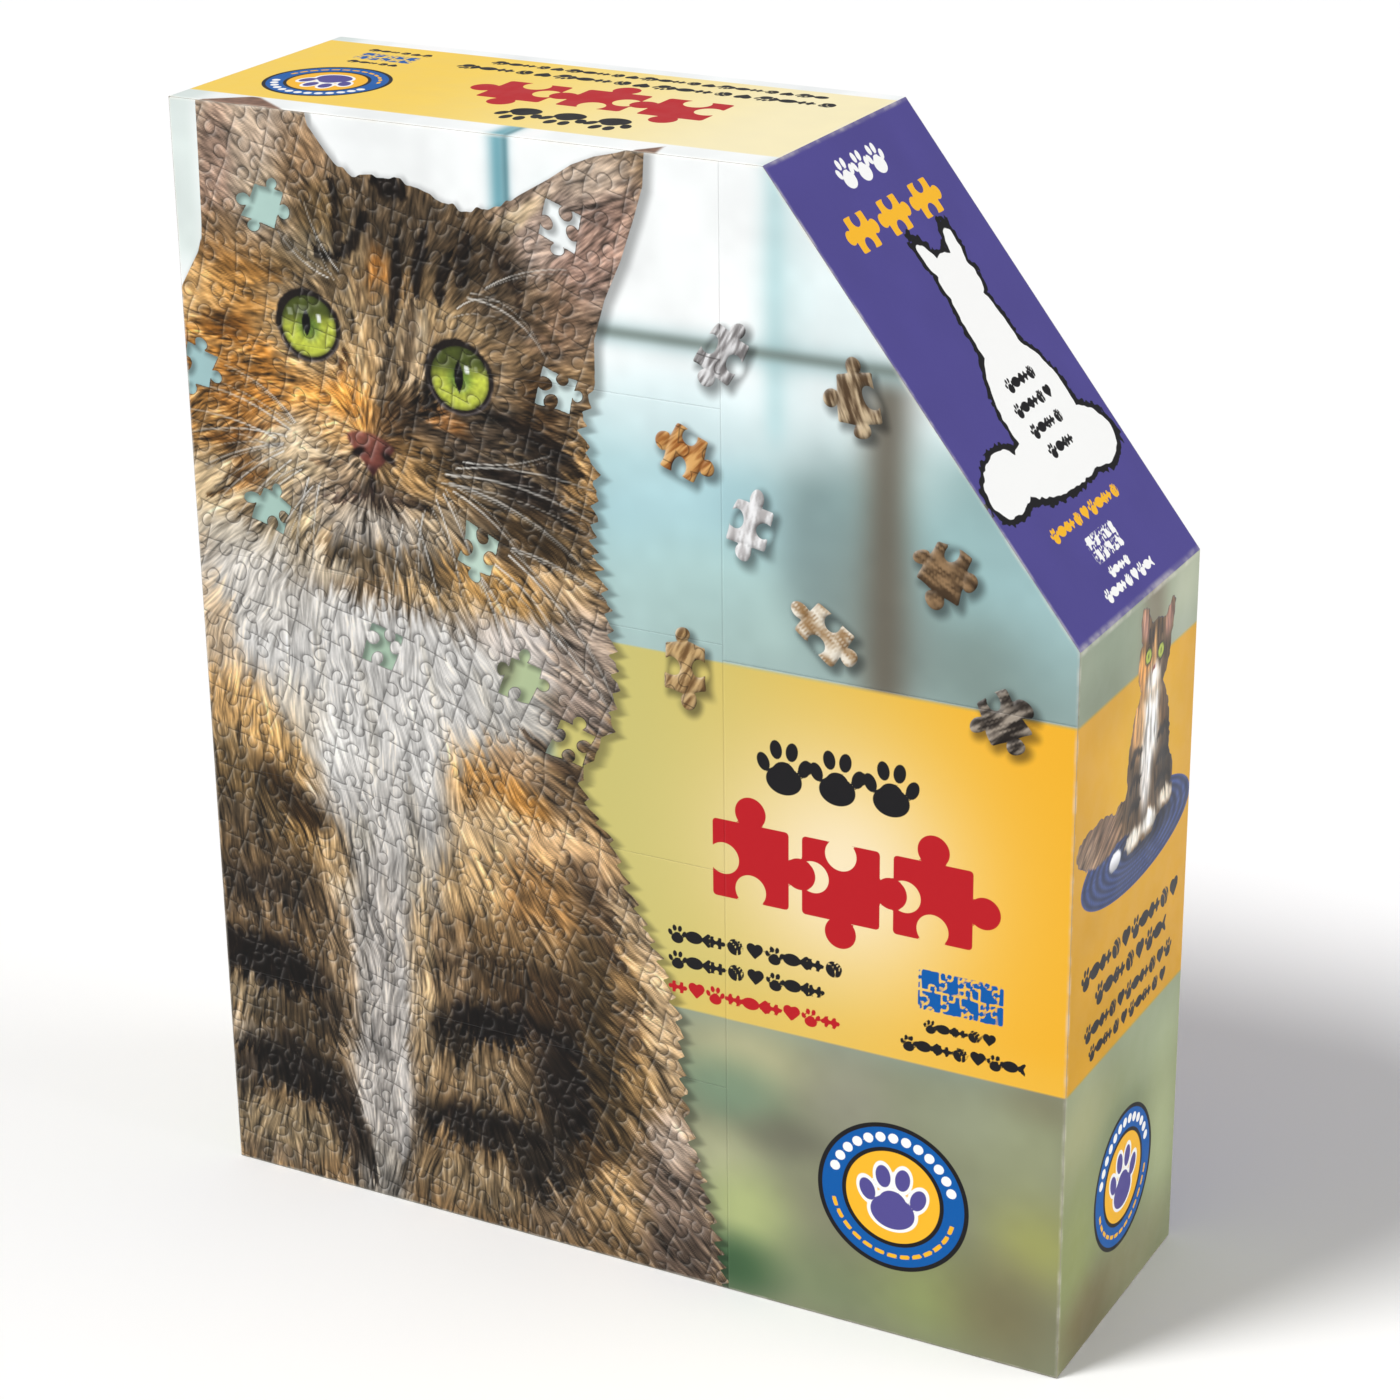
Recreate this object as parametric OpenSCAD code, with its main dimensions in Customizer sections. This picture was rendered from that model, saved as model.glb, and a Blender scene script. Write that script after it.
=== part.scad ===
// Boxed jigsaw puzzle: a five-sided, two-piece set-up box that stands upright.
// The printed lid is the front and all five walls, and slides off forwards, along -Y.
// The tray is the back, and holds the bag of pieces and the folded picture sheet.
// +Z up, front faces -Y, origin at the centre of the underside.

/* [Box outline] */
// Width of the closed box
box_w = 240; // [200:1:300]
// Height of the closed box, standing
box_h = 292; // [220:1:380]
// Depth of the closed box, front to back
box_d = 76; // [60:1:110]
// How far the cut corner runs along the top
cut_run = 79; // [30:1:110]
// How far the cut corner drops down the right side
cut_drop = 102; // [40:1:140]

/* [Board, paper and tape] */
// Thickness of the grey board that both halves are folded from
board_t = 1.6; // [1:0.1:2.4]
// Thickness of the paper wrapped round the board
wrap_t = 0.2; // [0.1:0.05:0.4]
// How far the wrap turns in over each rim
turn_in = 15; // [8:1:20]
// Thickness of the stay tape that holds each folded corner
tape_t = 0.15; // [0.1:0.05:0.3]
// How far the tape reaches along each wall from a corner
tape_leg = 14; // [8:1:20]
// Bare board left at each end of a tape
tape_end = 2; // [1:0.5:5]

/* [Fit of lid and tray] */
// Clearance between the lid's walls and the tray's walls
fit_play = 0.5; // [0.3:0.1:1]
// Clearance between the lid's front panel and the tray's rim
head_play = 0.8; // [0.3:0.1:2]
// How far the lid's rim stops short of the tray's back
rim_short = 0.5; // [0.3:0.1:2]

/* [Bag and sheet] */
// Thickness of the bag's film
film_t = 0.1; // [0.05:0.05:0.2]
// Clearance between the bag and the pieces, and the bag and the tray
bag_play = 0.3; // [0.2:0.1:1]
// Height of the welded fin along the bag's top
fin_h = 12; // [5:1:20]
// Width of the folded picture sheet
sheet_w = 190; // [120:1:196]
// Height of the folded picture sheet
sheet_h = 148; // [100:1:180]
// Thickness of one leaf of the folded sheet
leaf_t = 0.3; // [0.2:0.1:0.6]

/* [Jigsaw pieces] */
// Side of a piece's body
piece_side = 19.5; // [14:0.5:20]
// Thickness of a piece
piece_t = 1.9; // [1.5:0.1:2.5]
// Radius of a knob's round head, as a share of the piece's side
knob_share = 0.15; // [0.1:0.01:0.16]
// How far the head's centre stands out from the side, as a share of its radius
knob_reach = 0.86; // [0.7:0.02:0.9]
// Most that a knob sits off the middle of its side, as a share of the side
shift_share = 0.06; // [0:0.01:0.08]
// Most that a corner strays from square, as a share of the side
stray_share = 0.03; // [0:0.01:0.05]
// Clearance between layers of pieces
layer_play = 0.2; // [0.1:0.1:0.5]

/* [Hidden] */
// Pieces of each region of the picture, from the ears down to the tail
REGIONS = [22, 24, 52, 20, 34, 56, 88, 62, 58, 66, 40, 28];
eps = 0.01;

// Tray inset: wrap, board, turned-in wrap and running clearance of the lid lie outside it
tray_inset = 2 * wrap_t + board_t + fit_play;
tray_floor = tray_inset + wrap_t + board_t;
lid_depth = box_d - rim_short;
tray_depth = box_d - wrap_t - board_t - head_play;
tray_back = box_d / 2 - wrap_t - board_t;

knob_r = knob_share * piece_side;
knob_out = knob_reach * knob_r;
knob_shift = shift_share * piece_side;
corner_stray = stray_share * piece_side;

// Lattice that the pieces settle in: flat layers of columns and rows, in square cells that
// a piece can turn in
piece_count = pieces_before(len(REGIONS));
cell = 2 * norm([piece_side / 2 + corner_stray + knob_out + knob_r, knob_shift + corner_stray]);
columns = floor((box_w - 2 * (tray_floor + wrap_t + film_t + bag_play)) / cell);
rows = floor((tray_back + box_d / 2 - head_play - 2 * (leaf_t + film_t) - 5 * bag_play
    - wrap_t - board_t) / cell);
layer_cells = columns * rows;
layer = piece_t + layer_play;
layers = ceil(piece_count / layer_cells);
// A step that shares no factor with the count deals the regions out all through the bag
deal = 237;

bag_w = columns * cell + 2 * (bag_play + film_t);
bag_d = rows * cell + 2 * (bag_play + film_t);
bag_h = layers * layer + 2 * (bag_play + film_t);
bag_back = tray_back - bag_play;
bag_base = tray_floor + wrap_t + bag_play / 2;
sheet_back = bag_back - bag_d - bag_play;

// The box's outline seen from the front, every side moved in by t. The slanted side is
// the line cut_drop * x + cut_run * z = constant, so its constant falls by t times the
// length of (cut_run, cut_drop).
function slant(t) = cut_drop * box_w + cut_run * (box_h - cut_drop) - t * norm([cut_run, cut_drop]);
function outline(t) = [for (p = [
    [t, t],
    [box_w - t, t],
    [box_w - t, (slant(t) - cut_drop * (box_w - t)) / cut_run],
    [(slant(t) - cut_run * (box_h - t)) / cut_drop, box_h - t],
    [t, box_h - t]]) [p[0] - box_w / 2, p[1]]];

function unit(v) = v / norm(v);

// A prism of the outline, moved in by t, from depth a to depth b behind the front
module slab(t, a, b) {
    translate([0, b, 0])
    rotate([90, 0, 0])
    linear_extrude(b - a)
    polygon(outline(t));
}

// One half of the box as folded board, moved in by t: panel at depth 0, rim at depth
module board_half(t, depth) {
    difference() {
        slab(t + wrap_t, wrap_t, depth - wrap_t);
        slab(t + wrap_t + board_t, wrap_t + board_t, depth);
        tapes_half(t, depth);
    }
}

// Section of a corner tape: two legs along the walls that meet at corner i
module tape_section(t, i) {
    outer = outline(t + wrap_t);
    inner = outline(t + wrap_t + tape_t);
    before = unit(outer[(i + 4) % 5] - outer[i]);
    after = unit(outer[(i + 1) % 5] - outer[i]);
    polygon([
        outer[i] + before * tape_leg,
        outer[i],
        outer[i] + after * tape_leg,
        outer[i] + after * tape_leg + tape_t * [-after[1], after[0]],
        inner[i],
        outer[i] + before * tape_leg + tape_t * [before[1], -before[0]]]);
}

// The five stay tapes, let into the board so that the wrap lies flat over them
module tapes_half(t, depth) {
    for (i = [0:4])
        translate([0, depth - wrap_t - tape_end, 0])
        rotate([90, 0, 0])
        linear_extrude(depth - 2 * (wrap_t + tape_end))
        tape_section(t, i);
}

// Paper over the panel and walls, round the rim, and turn_in deep down the inside
module wrap_half(t, depth) {
    inside = t + wrap_t + board_t;
    difference() {
        slab(t, 0, depth);
        slab(t + wrap_t, wrap_t, depth - wrap_t);
        slab(inside + wrap_t, depth - turn_in, depth + eps);
    }
    difference() {
        slab(inside, depth - turn_in, depth - wrap_t / 2);
        slab(inside + wrap_t, depth - turn_in - eps, depth);
    }
}

module lid_place() {
    translate([0, -box_d / 2, 0])
    children();
}

module tray_place() {
    translate([0, box_d / 2, 0])
    mirror([0, 1, 0])
    children();
}

module lid_board() {
    color("darkgray")
    lid_place()
    board_half(0, lid_depth);
}

module lid_corner_tapes() {
    color("burlywood")
    lid_place()
    tapes_half(0, lid_depth);
}

module lid_wrap() {
    color("goldenrod")
    lid_place()
    wrap_half(0, lid_depth);
}

module tray_board() {
    color("darkgray")
    tray_place()
    board_half(tray_inset, tray_depth);
}

module tray_corner_tapes() {
    color("burlywood")
    tray_place()
    tapes_half(tray_inset, tray_depth);
}

module tray_wrap() {
    color("slateblue")
    tray_place()
    wrap_half(tray_inset, tray_depth);
}

// Sealed clear bag: a thin closed shell with a welded fin standing along its top
module bag_film() {
    color("lightcyan", 0.4)
    translate([0, bag_back - bag_d / 2, bag_base])
    union() {
        difference() {
            translate([-bag_w / 2, -bag_d / 2, 0])
            cube([bag_w, bag_d, bag_h]);
            translate([-bag_w / 2 + film_t, -bag_d / 2 + film_t, film_t])
            cube([bag_w - 2 * film_t, bag_d - 2 * film_t, bag_h - 2 * film_t]);
        }
        translate([-bag_w / 2, -film_t, bag_h - film_t / 2])
        cube([bag_w, 2 * film_t, fin_h]);
    }
}

// Picture sheet, folded once more into two leaves that meet at a fold down its left side
module picture_sheet() {
    fold_r = leaf_t + bag_play / 2;
    color("ivory")
    translate([-sheet_w / 2 + fold_r, sheet_back - fold_r, bag_base])
    linear_extrude(sheet_h)
    difference() {
        union() {
            circle(fold_r, $fn = 24);
            translate([0, -fold_r])
            square([sheet_w - fold_r, 2 * fold_r]);
        }
        circle(fold_r - leaf_t, $fn = 24);
        translate([0, leaf_t - fold_r])
        square([sheet_w, 2 * (fold_r - leaf_t)]);
    }
}

// A piece's outline: a nearly square body with a knob or a socket on each of its sides.
// A head's centre lies knob_out from its side, outside it for a knob and inside for a socket.
module piece_outline(seed) {
    half = piece_side / 2;
    stray = rands(-corner_stray, corner_stray, 8, seed);
    shift = rands(-knob_shift, knob_shift, 4, seed + piece_count);
    kind = rands(-1, 1, 4, seed + 2 * piece_count);
    corners = [
        [stray[0] - half, stray[1] - half],
        [stray[2] + half, stray[3] - half],
        [stray[4] + half, stray[5] + half],
        [stray[6] - half, stray[7] + half]];
    difference() {
        union() {
            polygon(corners);
            for (side = [0:3])
                if (kind[side] > 0)
                    head(corners[side], corners[(side + 1) % 4], shift[side], knob_out);
        }
        for (side = [0:3])
            if (kind[side] <= 0)
                head(corners[side], corners[(side + 1) % 4], shift[side], -knob_out);
    }
}

// Round head beside the middle of the side from a to b, moved along it and out from it
module head(a, b, along, out) {
    way = unit(b - a);
    translate((a + b) / 2 + way * along + [way[1], -way[0]] * out)
    circle(knob_r, $fn = 24);
}

// Piece number i, in its own cell of the bag and turned at random
module jigsaw_piece(i) {
    slot = (i * deal) % piece_count;
    place = slot % layer_cells;
    turn = rands(0, 360, 1, i)[0];
    translate([
        (place % columns + 0.5 - columns / 2) * cell,
        bag_back - film_t - bag_play - (floor(place / columns) + 0.5) * cell,
        bag_base + film_t + bag_play / 2 + floor(slot / layer_cells) * layer])
    rotate(turn)
    linear_extrude(piece_t)
    piece_outline(i);
}

function pieces_before(r) = r == 0 ? 0 : REGIONS[r - 1] + pieces_before(r - 1);

module region(r, colour) {
    color(colour)
    for (i = [pieces_before(r):pieces_before(r) + REGIONS[r] - 1])
        jigsaw_piece(i);
}

module left_ear_pieces() { region(0, "rosybrown"); }
module right_ear_pieces() { region(1, "tan"); }
module forehead_pieces() { region(2, "saddlebrown"); }
module eye_pieces() { region(3, "yellowgreen"); }
module muzzle_pieces() { region(4, "linen"); }
module cheek_pieces() { region(5, "peru"); }
module bib_pieces() { region(6, "whitesmoke"); }
module shoulder_pieces() { region(7, "sienna"); }
module flank_pieces() { region(8, "dimgray"); }
module foreleg_pieces() { region(9, "darkkhaki"); }
module paw_pieces() { region(10, "gainsboro"); }
module tail_pieces() { region(11, "darkslategray"); }

lid_board();
lid_corner_tapes();
lid_wrap();
tray_board();
tray_corner_tapes();
tray_wrap();
bag_film();
picture_sheet();
left_ear_pieces();
right_ear_pieces();
forehead_pieces();
eye_pieces();
muzzle_pieces();
cheek_pieces();
bib_pieces();
shoulder_pieces();
flank_pieces();
foreleg_pieces();
paw_pieces();
tail_pieces();
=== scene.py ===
import bpy
import numpy as np
from mathutils import Matrix, Vector


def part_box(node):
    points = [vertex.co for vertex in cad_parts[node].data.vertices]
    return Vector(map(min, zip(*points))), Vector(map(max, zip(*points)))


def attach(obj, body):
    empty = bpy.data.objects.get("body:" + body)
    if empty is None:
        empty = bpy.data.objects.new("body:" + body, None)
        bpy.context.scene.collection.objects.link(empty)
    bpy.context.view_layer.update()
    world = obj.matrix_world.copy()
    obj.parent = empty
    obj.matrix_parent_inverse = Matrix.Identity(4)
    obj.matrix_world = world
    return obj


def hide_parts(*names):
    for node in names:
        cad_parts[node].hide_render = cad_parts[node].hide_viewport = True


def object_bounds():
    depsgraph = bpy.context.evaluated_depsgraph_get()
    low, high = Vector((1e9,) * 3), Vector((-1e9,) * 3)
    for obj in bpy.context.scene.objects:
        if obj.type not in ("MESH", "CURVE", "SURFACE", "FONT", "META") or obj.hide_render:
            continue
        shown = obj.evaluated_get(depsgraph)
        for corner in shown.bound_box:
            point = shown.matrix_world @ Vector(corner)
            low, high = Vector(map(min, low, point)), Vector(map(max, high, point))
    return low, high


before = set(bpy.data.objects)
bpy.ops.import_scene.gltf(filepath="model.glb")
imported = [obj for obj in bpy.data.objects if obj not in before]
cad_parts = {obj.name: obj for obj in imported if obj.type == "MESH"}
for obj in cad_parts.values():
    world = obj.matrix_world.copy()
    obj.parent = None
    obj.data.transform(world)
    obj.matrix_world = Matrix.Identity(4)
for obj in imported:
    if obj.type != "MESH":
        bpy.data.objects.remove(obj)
cad_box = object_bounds()

# The studio: a broad pale floor in a white surround, one soft light high on the front left, a weaker
# and lower one from the right, and the camera a little above the box, turned to see its front,
# its cut corner and its right wall. All lengths in this file are millimetres until a mesh is made.
MM = 0.001
FLOOR_REACH = 6000
CAMERA_SPOT = (391.6, -722.9, 483.1)
CAMERA_AZIMUTH, CAMERA_TILT, CAMERA_ROLL = 28.24, 22.51, -0.67
CAMERA_LENS = 91.17


def wire(tree, kind, sockets=(), **settings):
    """Adds a shader node: settings are its properties, and sockets maps each input's name or number
    to a value or to another node's output."""
    made = tree.nodes.new(kind)
    for key, value in settings.items():
        setattr(made, key, value)
    for key, value in dict(sockets).items():
        if isinstance(value, bpy.types.NodeSocket):
            tree.links.new(value, made.inputs[key])
        else:
            made.inputs[key].default_value = value
    return made


def new_finish(name, **sockets):
    """A node material with one Principled shader, whose inputs are set from the given numbers and
    colours. Returns the material, its tree and the shader."""
    material = bpy.data.materials.new(name)
    material.use_nodes = True
    tree = material.node_tree
    tree.nodes.clear()
    shader = wire(tree, "ShaderNodeBsdfPrincipled",
                  {key.replace("_", " "): value for key, value in sockets.items()})
    output = wire(tree, "ShaderNodeOutputMaterial", {"Surface": shader.outputs[0]})
    return material, tree, shader


def linear(colour):
    """Screen colour from 0 to 1 turned into light: the sRGB curve undone."""
    colour = np.clip(np.asarray(colour, float), 0, 1)
    return np.where(colour <= 0.04045, colour / 12.92, ((colour + 0.055) / 1.055) ** 2.4)


def paint(red, green, blue):
    """A screen colour in steps of 255 as a shader colour."""
    return (*linear(np.array((red, green, blue)) / 255), 1.0)


def floor_finish():
    """White studio floor with a barely seen unevenness."""
    material, tree, shader = new_finish("studio_floor", Roughness=0.85)
    place = wire(tree, "ShaderNodeTexCoord")
    cloud = wire(tree, "ShaderNodeTexNoise", {"Vector": place.outputs["Object"], "Scale": 3.0, "Detail": 3.0})
    ramp = wire(tree, "ShaderNodeValToRGB", {"Fac": cloud.outputs["Fac"]})
    ramp.color_ramp.elements[0].color = paint(250, 250, 251)
    ramp.color_ramp.elements[1].color = paint(254, 254, 254)
    tree.links.new(ramp.outputs["Color"], shader.inputs["Base Color"])
    return material


reach = FLOOR_REACH * MM
floor_mesh = bpy.data.meshes.new("floor")
floor_mesh.from_pydata([(-reach, -reach, 0), (reach, -reach, 0), (reach, reach, 0), (-reach, reach, 0)],
                       [], [(0, 1, 2, 3)])
floor = bpy.data.objects.new("floor", floor_mesh)
bpy.context.scene.collection.objects.link(floor)
floor_mesh.materials.append(floor_finish())


def soft_sun(name, toward, strength, spread, tint):
    """Even parallel light that comes from the direction toward, blurred over spread degrees."""
    lamp = bpy.data.lights.new(name, "SUN")
    lamp.energy, lamp.angle, lamp.color = strength, np.radians(spread), tint
    holder = bpy.data.objects.new(name, lamp)
    holder.location = Vector(toward)
    holder.rotation_euler = (-Vector(toward)).to_track_quat("-Z", "Y").to_euler()
    bpy.context.scene.collection.objects.link(holder)


soft_sun("key_light", (-0.35, -0.46, 0.82), 2.36, 16, (1.0, 0.995, 0.985))
soft_sun("side_light", (0.93, 0.22, 0.30), 1.18, 40, (0.985, 0.99, 1.0))

surround = bpy.data.worlds.new("studio_surround")
surround.use_nodes = True
surround.node_tree.nodes["Background"].inputs["Color"].default_value = (1.0, 1.0, 1.0, 1.0)
surround.node_tree.nodes["Background"].inputs["Strength"].default_value = 0.345
bpy.context.scene.world = surround
bpy.context.scene.view_settings.view_transform = "Standard"

azimuth, tilt, roll = np.radians((CAMERA_AZIMUTH, CAMERA_TILT, CAMERA_ROLL))
ahead = Vector((-np.sin(azimuth) * np.cos(tilt), np.cos(azimuth) * np.cos(tilt), -np.sin(tilt)))
level = Vector((np.cos(azimuth), np.sin(azimuth), 0))
lift = level.cross(ahead)
right_hand = level * np.cos(roll) + lift * np.sin(roll)
head_up = lift * np.cos(roll) - level * np.sin(roll)
lens = bpy.data.cameras.new("camera")
lens.lens = CAMERA_LENS
lens.clip_end = 100
camera = bpy.data.objects.new("camera", lens)
camera.matrix_world = Matrix((
    (right_hand.x, head_up.x, -ahead.x, CAMERA_SPOT[0] * MM),
    (right_hand.y, head_up.y, -ahead.y, CAMERA_SPOT[1] * MM),
    (right_hand.z, head_up.z, -ahead.z, CAMERA_SPOT[2] * MM),
    (0, 0, 0, 1)))
bpy.context.scene.collection.objects.link(camera)
bpy.context.scene.camera = camera


# The two board halves, tray_board and lid_board: solid grey board made from waste paper, 1.6 mm
# thick, creased, folded up and taped at the corners. They keep their own meshes, and get the
# speckled, slightly hairy face that bare grey board has.
def grey_board_finish():
    """Grey board: soft clouds of grey-brown, dark and pale flecks of old print, and fibre relief."""
    material, tree, shader = new_finish("grey_board", Roughness=0.92, Specular_IOR_Level=0.25)
    place = wire(tree, "ShaderNodeTexCoord")
    cloud = wire(tree, "ShaderNodeTexNoise", {"Vector": place.outputs["Object"], "Scale": 60.0, "Detail": 6.0})
    ground = wire(tree, "ShaderNodeValToRGB", {"Fac": cloud.outputs["Fac"]})
    ground.color_ramp.elements[0].color = paint(142, 135, 124)
    ground.color_ramp.elements[1].color = paint(176, 170, 158)
    fleck = wire(tree, "ShaderNodeTexVoronoi", {"Vector": place.outputs["Object"], "Scale": 420.0})
    dark = wire(tree, "ShaderNodeMapRange", {"Value": fleck.outputs["Distance"], "From Min": 0.10, "From Max": 0.22,
                                             "To Min": 0.45, "To Max": 0.0})
    mixed = wire(tree, "ShaderNodeMix", {"Factor": dark.outputs[0], 6: ground.outputs["Color"],
                                         7: paint(96, 90, 84)}, data_type="RGBA")
    stretch = wire(tree, "ShaderNodeMapping", {"Vector": place.outputs["Object"], "Scale": (1.0, 1.0, 7.0)})
    hair = wire(tree, "ShaderNodeTexNoise", {"Vector": stretch.outputs[0], "Scale": 500.0, "Detail": 4.0})
    pale = wire(tree, "ShaderNodeMapRange", {"Value": hair.outputs["Fac"], "From Min": 0.62, "From Max": 0.74,
                                             "To Min": 0.0, "To Max": 0.5})
    final = wire(tree, "ShaderNodeMix", {"Factor": pale.outputs[0], 6: mixed.outputs[2],
                                         7: paint(206, 202, 192)}, data_type="RGBA")
    tree.links.new(final.outputs[2], shader.inputs["Base Color"])
    relief = wire(tree, "ShaderNodeBump", {"Height": hair.outputs["Fac"], "Strength": 0.35, "Distance": 0.0002})
    tree.links.new(relief.outputs[0], shader.inputs["Normal"])
    return material


def dress(node, material):
    """Puts the material in every slot of a CAD node's object."""
    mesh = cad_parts[node].data
    if not mesh.materials:
        mesh.materials.append(material)
    for index in range(len(mesh.materials)):
        mesh.materials[index] = material


grey_board = grey_board_finish()
dress("tray_board", grey_board)
dress("lid_board", grey_board)


# The corner tapes, five in each half: strips of gummed brown paper stuck round each folded corner
# on the outside of the board, under the wrap.
def stay_tape_finish():
    """Brown gummed paper with long fibres up the strip and a faint ribbed sheen."""
    material, tree, shader = new_finish("stay_tape", Roughness=0.62)
    place = wire(tree, "ShaderNodeTexCoord")
    stretch = wire(tree, "ShaderNodeMapping", {"Vector": place.outputs["Object"], "Scale": (1.0, 0.12, 1.0)})
    fibre = wire(tree, "ShaderNodeTexNoise", {"Vector": stretch.outputs[0], "Scale": 900.0, "Detail": 5.0})
    ground = wire(tree, "ShaderNodeValToRGB", {"Fac": fibre.outputs["Fac"]})
    ground.color_ramp.elements[0].color = paint(150, 116, 74)
    ground.color_ramp.elements[1].color = paint(196, 162, 112)
    tree.links.new(ground.outputs["Color"], shader.inputs["Base Color"])
    relief = wire(tree, "ShaderNodeBump", {"Height": fibre.outputs["Fac"], "Strength": 0.3, "Distance": 0.0001})
    tree.links.new(relief.outputs[0], shader.inputs["Normal"])
    return material


stay_tape = stay_tape_finish()
dress("tray_corner_tapes", stay_tape)
dress("lid_corner_tapes", stay_tape)


# The tray's wrap: violet printed paper glued over the back panel and the five walls, folded over
# the rim and turned 15 mm down the inside. The panel, which is the back of the closed box, carries
# a pale pattern of jigsaw cuts, a badge and rows of small signs.
BOX_W, BOX_D, BOX_H = [float(v) for v in np.round((Vector(cad_box[1]) - Vector(cad_box[0])) / MM, 2)]
CUT_RUN, CUT_DROP = 79, 102
WRAP, BOARD, TURN_IN = 0.2, 1.6, 15
TRAY_INSET = BOX_W / 2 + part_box("tray_wrap")[0].x / MM
TRAY_FRONT, TRAY_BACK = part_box("tray_wrap")[0].y / MM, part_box("tray_wrap")[1].y / MM
CORNER_R = 0.8


def outline(inset):
    """Corners of the box seen from the front, anticlockwise, each side moved in by inset.

    The slanted side is the line CUT_DROP x + CUT_RUN z = constant, and its constant falls by inset
    times the length of (CUT_RUN, CUT_DROP)."""
    hang = CUT_DROP * BOX_W + CUT_RUN * (BOX_H - CUT_DROP) - inset * np.hypot(CUT_RUN, CUT_DROP)
    right, top = BOX_W - inset, BOX_H - inset
    corners = [(inset, inset), (right, inset), (right, (hang - CUT_DROP * right) / CUT_RUN),
               ((hang - CUT_RUN * top) / CUT_DROP, top), (inset, top)]
    return np.array(corners) - (BOX_W / 2, 0)


def rounded(x, y, z, inset, front, back, lift=0.0):
    """Points of a sharp-edged box half moved on to its softly folded edges.

    Each point goes to the nearest point of the shape drawn in by CORNER_R, plus CORNER_R and lift
    times the unit vector from there to where it was."""
    corners = outline(inset + CORNER_R)
    best = np.full(x.shape, 1e9)
    near_x, near_z = x.copy(), z.copy()
    inside = np.ones(x.shape, bool)
    for (ax, az), (bx, bz) in zip(corners, np.roll(corners, -1, axis=0)):
        ex, ez = bx - ax, bz - az
        inside &= ex * (z - az) - ez * (x - ax) >= 0
        share = np.clip(((x - ax) * ex + (z - az) * ez) / (ex * ex + ez * ez), 0, 1)
        px, pz = ax + share * ex, az + share * ez
        gap = np.hypot(x - px, z - pz)
        nearer = gap < best
        best = np.where(nearer, gap, best)
        near_x, near_z = np.where(nearer, px, near_x), np.where(nearer, pz, near_z)
    near_x, near_z = np.where(inside, x, near_x), np.where(inside, z, near_z)
    near_y = np.clip(y, front + CORNER_R, back - CORNER_R)
    away = np.stack((x - near_x, y - near_y, z - near_z), axis=-1)
    away /= np.maximum(np.linalg.norm(away, axis=-1, keepdims=True), 1e-9)
    return np.stack((near_x, near_y, near_z), axis=-1) + (CORNER_R + lift) * away


def build_mesh(name, points, faces, maps=None, flat_from=None, tones=(), sizes=()):
    """Mesh object from points in mm and a list of face arrays, each with one width.

    maps gives each face corner its place on the UV map OFBake, tones are colours on the points, and
    sizes are numbers on the points. Faces from number flat_from on are shaded flat."""
    mesh = bpy.data.meshes.new(name)
    widths = np.concatenate([np.full(len(f), f.shape[1]) for f in faces])
    corners = np.concatenate([f.ravel() for f in faces])
    mesh.vertices.add(len(points))
    mesh.vertices.foreach_set("co", (points * MM).astype(np.float32).ravel())
    mesh.loops.add(len(corners))
    mesh.loops.foreach_set("vertex_index", corners.astype(np.int32))
    mesh.polygons.add(len(widths))
    mesh.polygons.foreach_set("loop_start", (np.cumsum(widths) - widths).astype(np.int32))
    mesh.polygons.foreach_set("loop_total", widths.astype(np.int32))
    smooth_faces = np.ones(len(widths), bool)
    if flat_from is not None:
        smooth_faces[flat_from:] = False
    mesh.polygons.foreach_set("use_smooth", smooth_faces)
    mesh.update(calc_edges=True)
    if maps is not None:
        mesh.uv_layers.new(name="OFBake").data.foreach_set("uv", maps.astype(np.float32).ravel())
    for label, values in dict(tones).items():
        layer = mesh.attributes.new(label, "FLOAT_COLOR", "POINT")
        full = np.concatenate((linear(values), np.ones((len(values), 1))), axis=1)
        layer.data.foreach_set("color", full.astype(np.float32).ravel())
    for label, values in dict(sizes).items():
        layer = mesh.attributes.new(label, "FLOAT", "POINT")
        layer.data.foreach_set("value", values.astype(np.float32))
    mesh.validate()
    made = bpy.data.objects.new(name, mesh)
    bpy.context.scene.collection.objects.link(made)
    return made


def paper(name, outer, inner, tones, sizes, material):
    """Closed sheet of paper: a grid of quads on the outer points, a strip round its border down to
    the inner points of that border, and one face across the back."""
    rows, cols = outer.shape[:2]
    number = np.arange(rows * cols).reshape(rows, cols)
    quads = np.stack((number[:-1, :-1], number[:-1, 1:], number[1:, 1:], number[1:, :-1]), axis=-1).reshape(-1, 4)
    border = np.concatenate((number[0, :-1], number[:-1, -1], number[-1, :0:-1], number[:0:-1, 0]))
    under = rows * cols + np.arange(len(border))
    strip = np.stack((np.roll(border, -1), border, under, np.roll(under, -1)), axis=-1)
    points = np.concatenate((outer.reshape(-1, 3), inner.reshape(-1, 3)[border]))
    flat_map = np.stack(np.meshgrid(np.linspace(0, 0.96, cols), np.linspace(0, 0.96, rows)), axis=-1).reshape(-1, 2)
    maps = np.concatenate((flat_map[quads.ravel()], np.repeat(flat_map[border], 4, axis=0),
                           0.97 + 0.03 * flat_map[border][::-1]))
    made = build_mesh(name, points, [quads, strip, under[None, ::-1]], maps, len(quads),
                      {k: np.concatenate((v.reshape(-1, 3), v.reshape(-1, 3)[border])) for k, v in tones.items()},
                      {k: np.concatenate((v.ravel(), v.ravel()[border])) for k, v in sizes.items()})
    made.data.materials.append(material)
    return made


def smooth(low, high, value):
    """0 below low, 1 above high, and the S-shaped 3 t^2 - 2 t^3 between them."""
    t = np.clip((value - low) / (high - low), 0, 1)
    return t * t * (3 - 2 * t)


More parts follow.
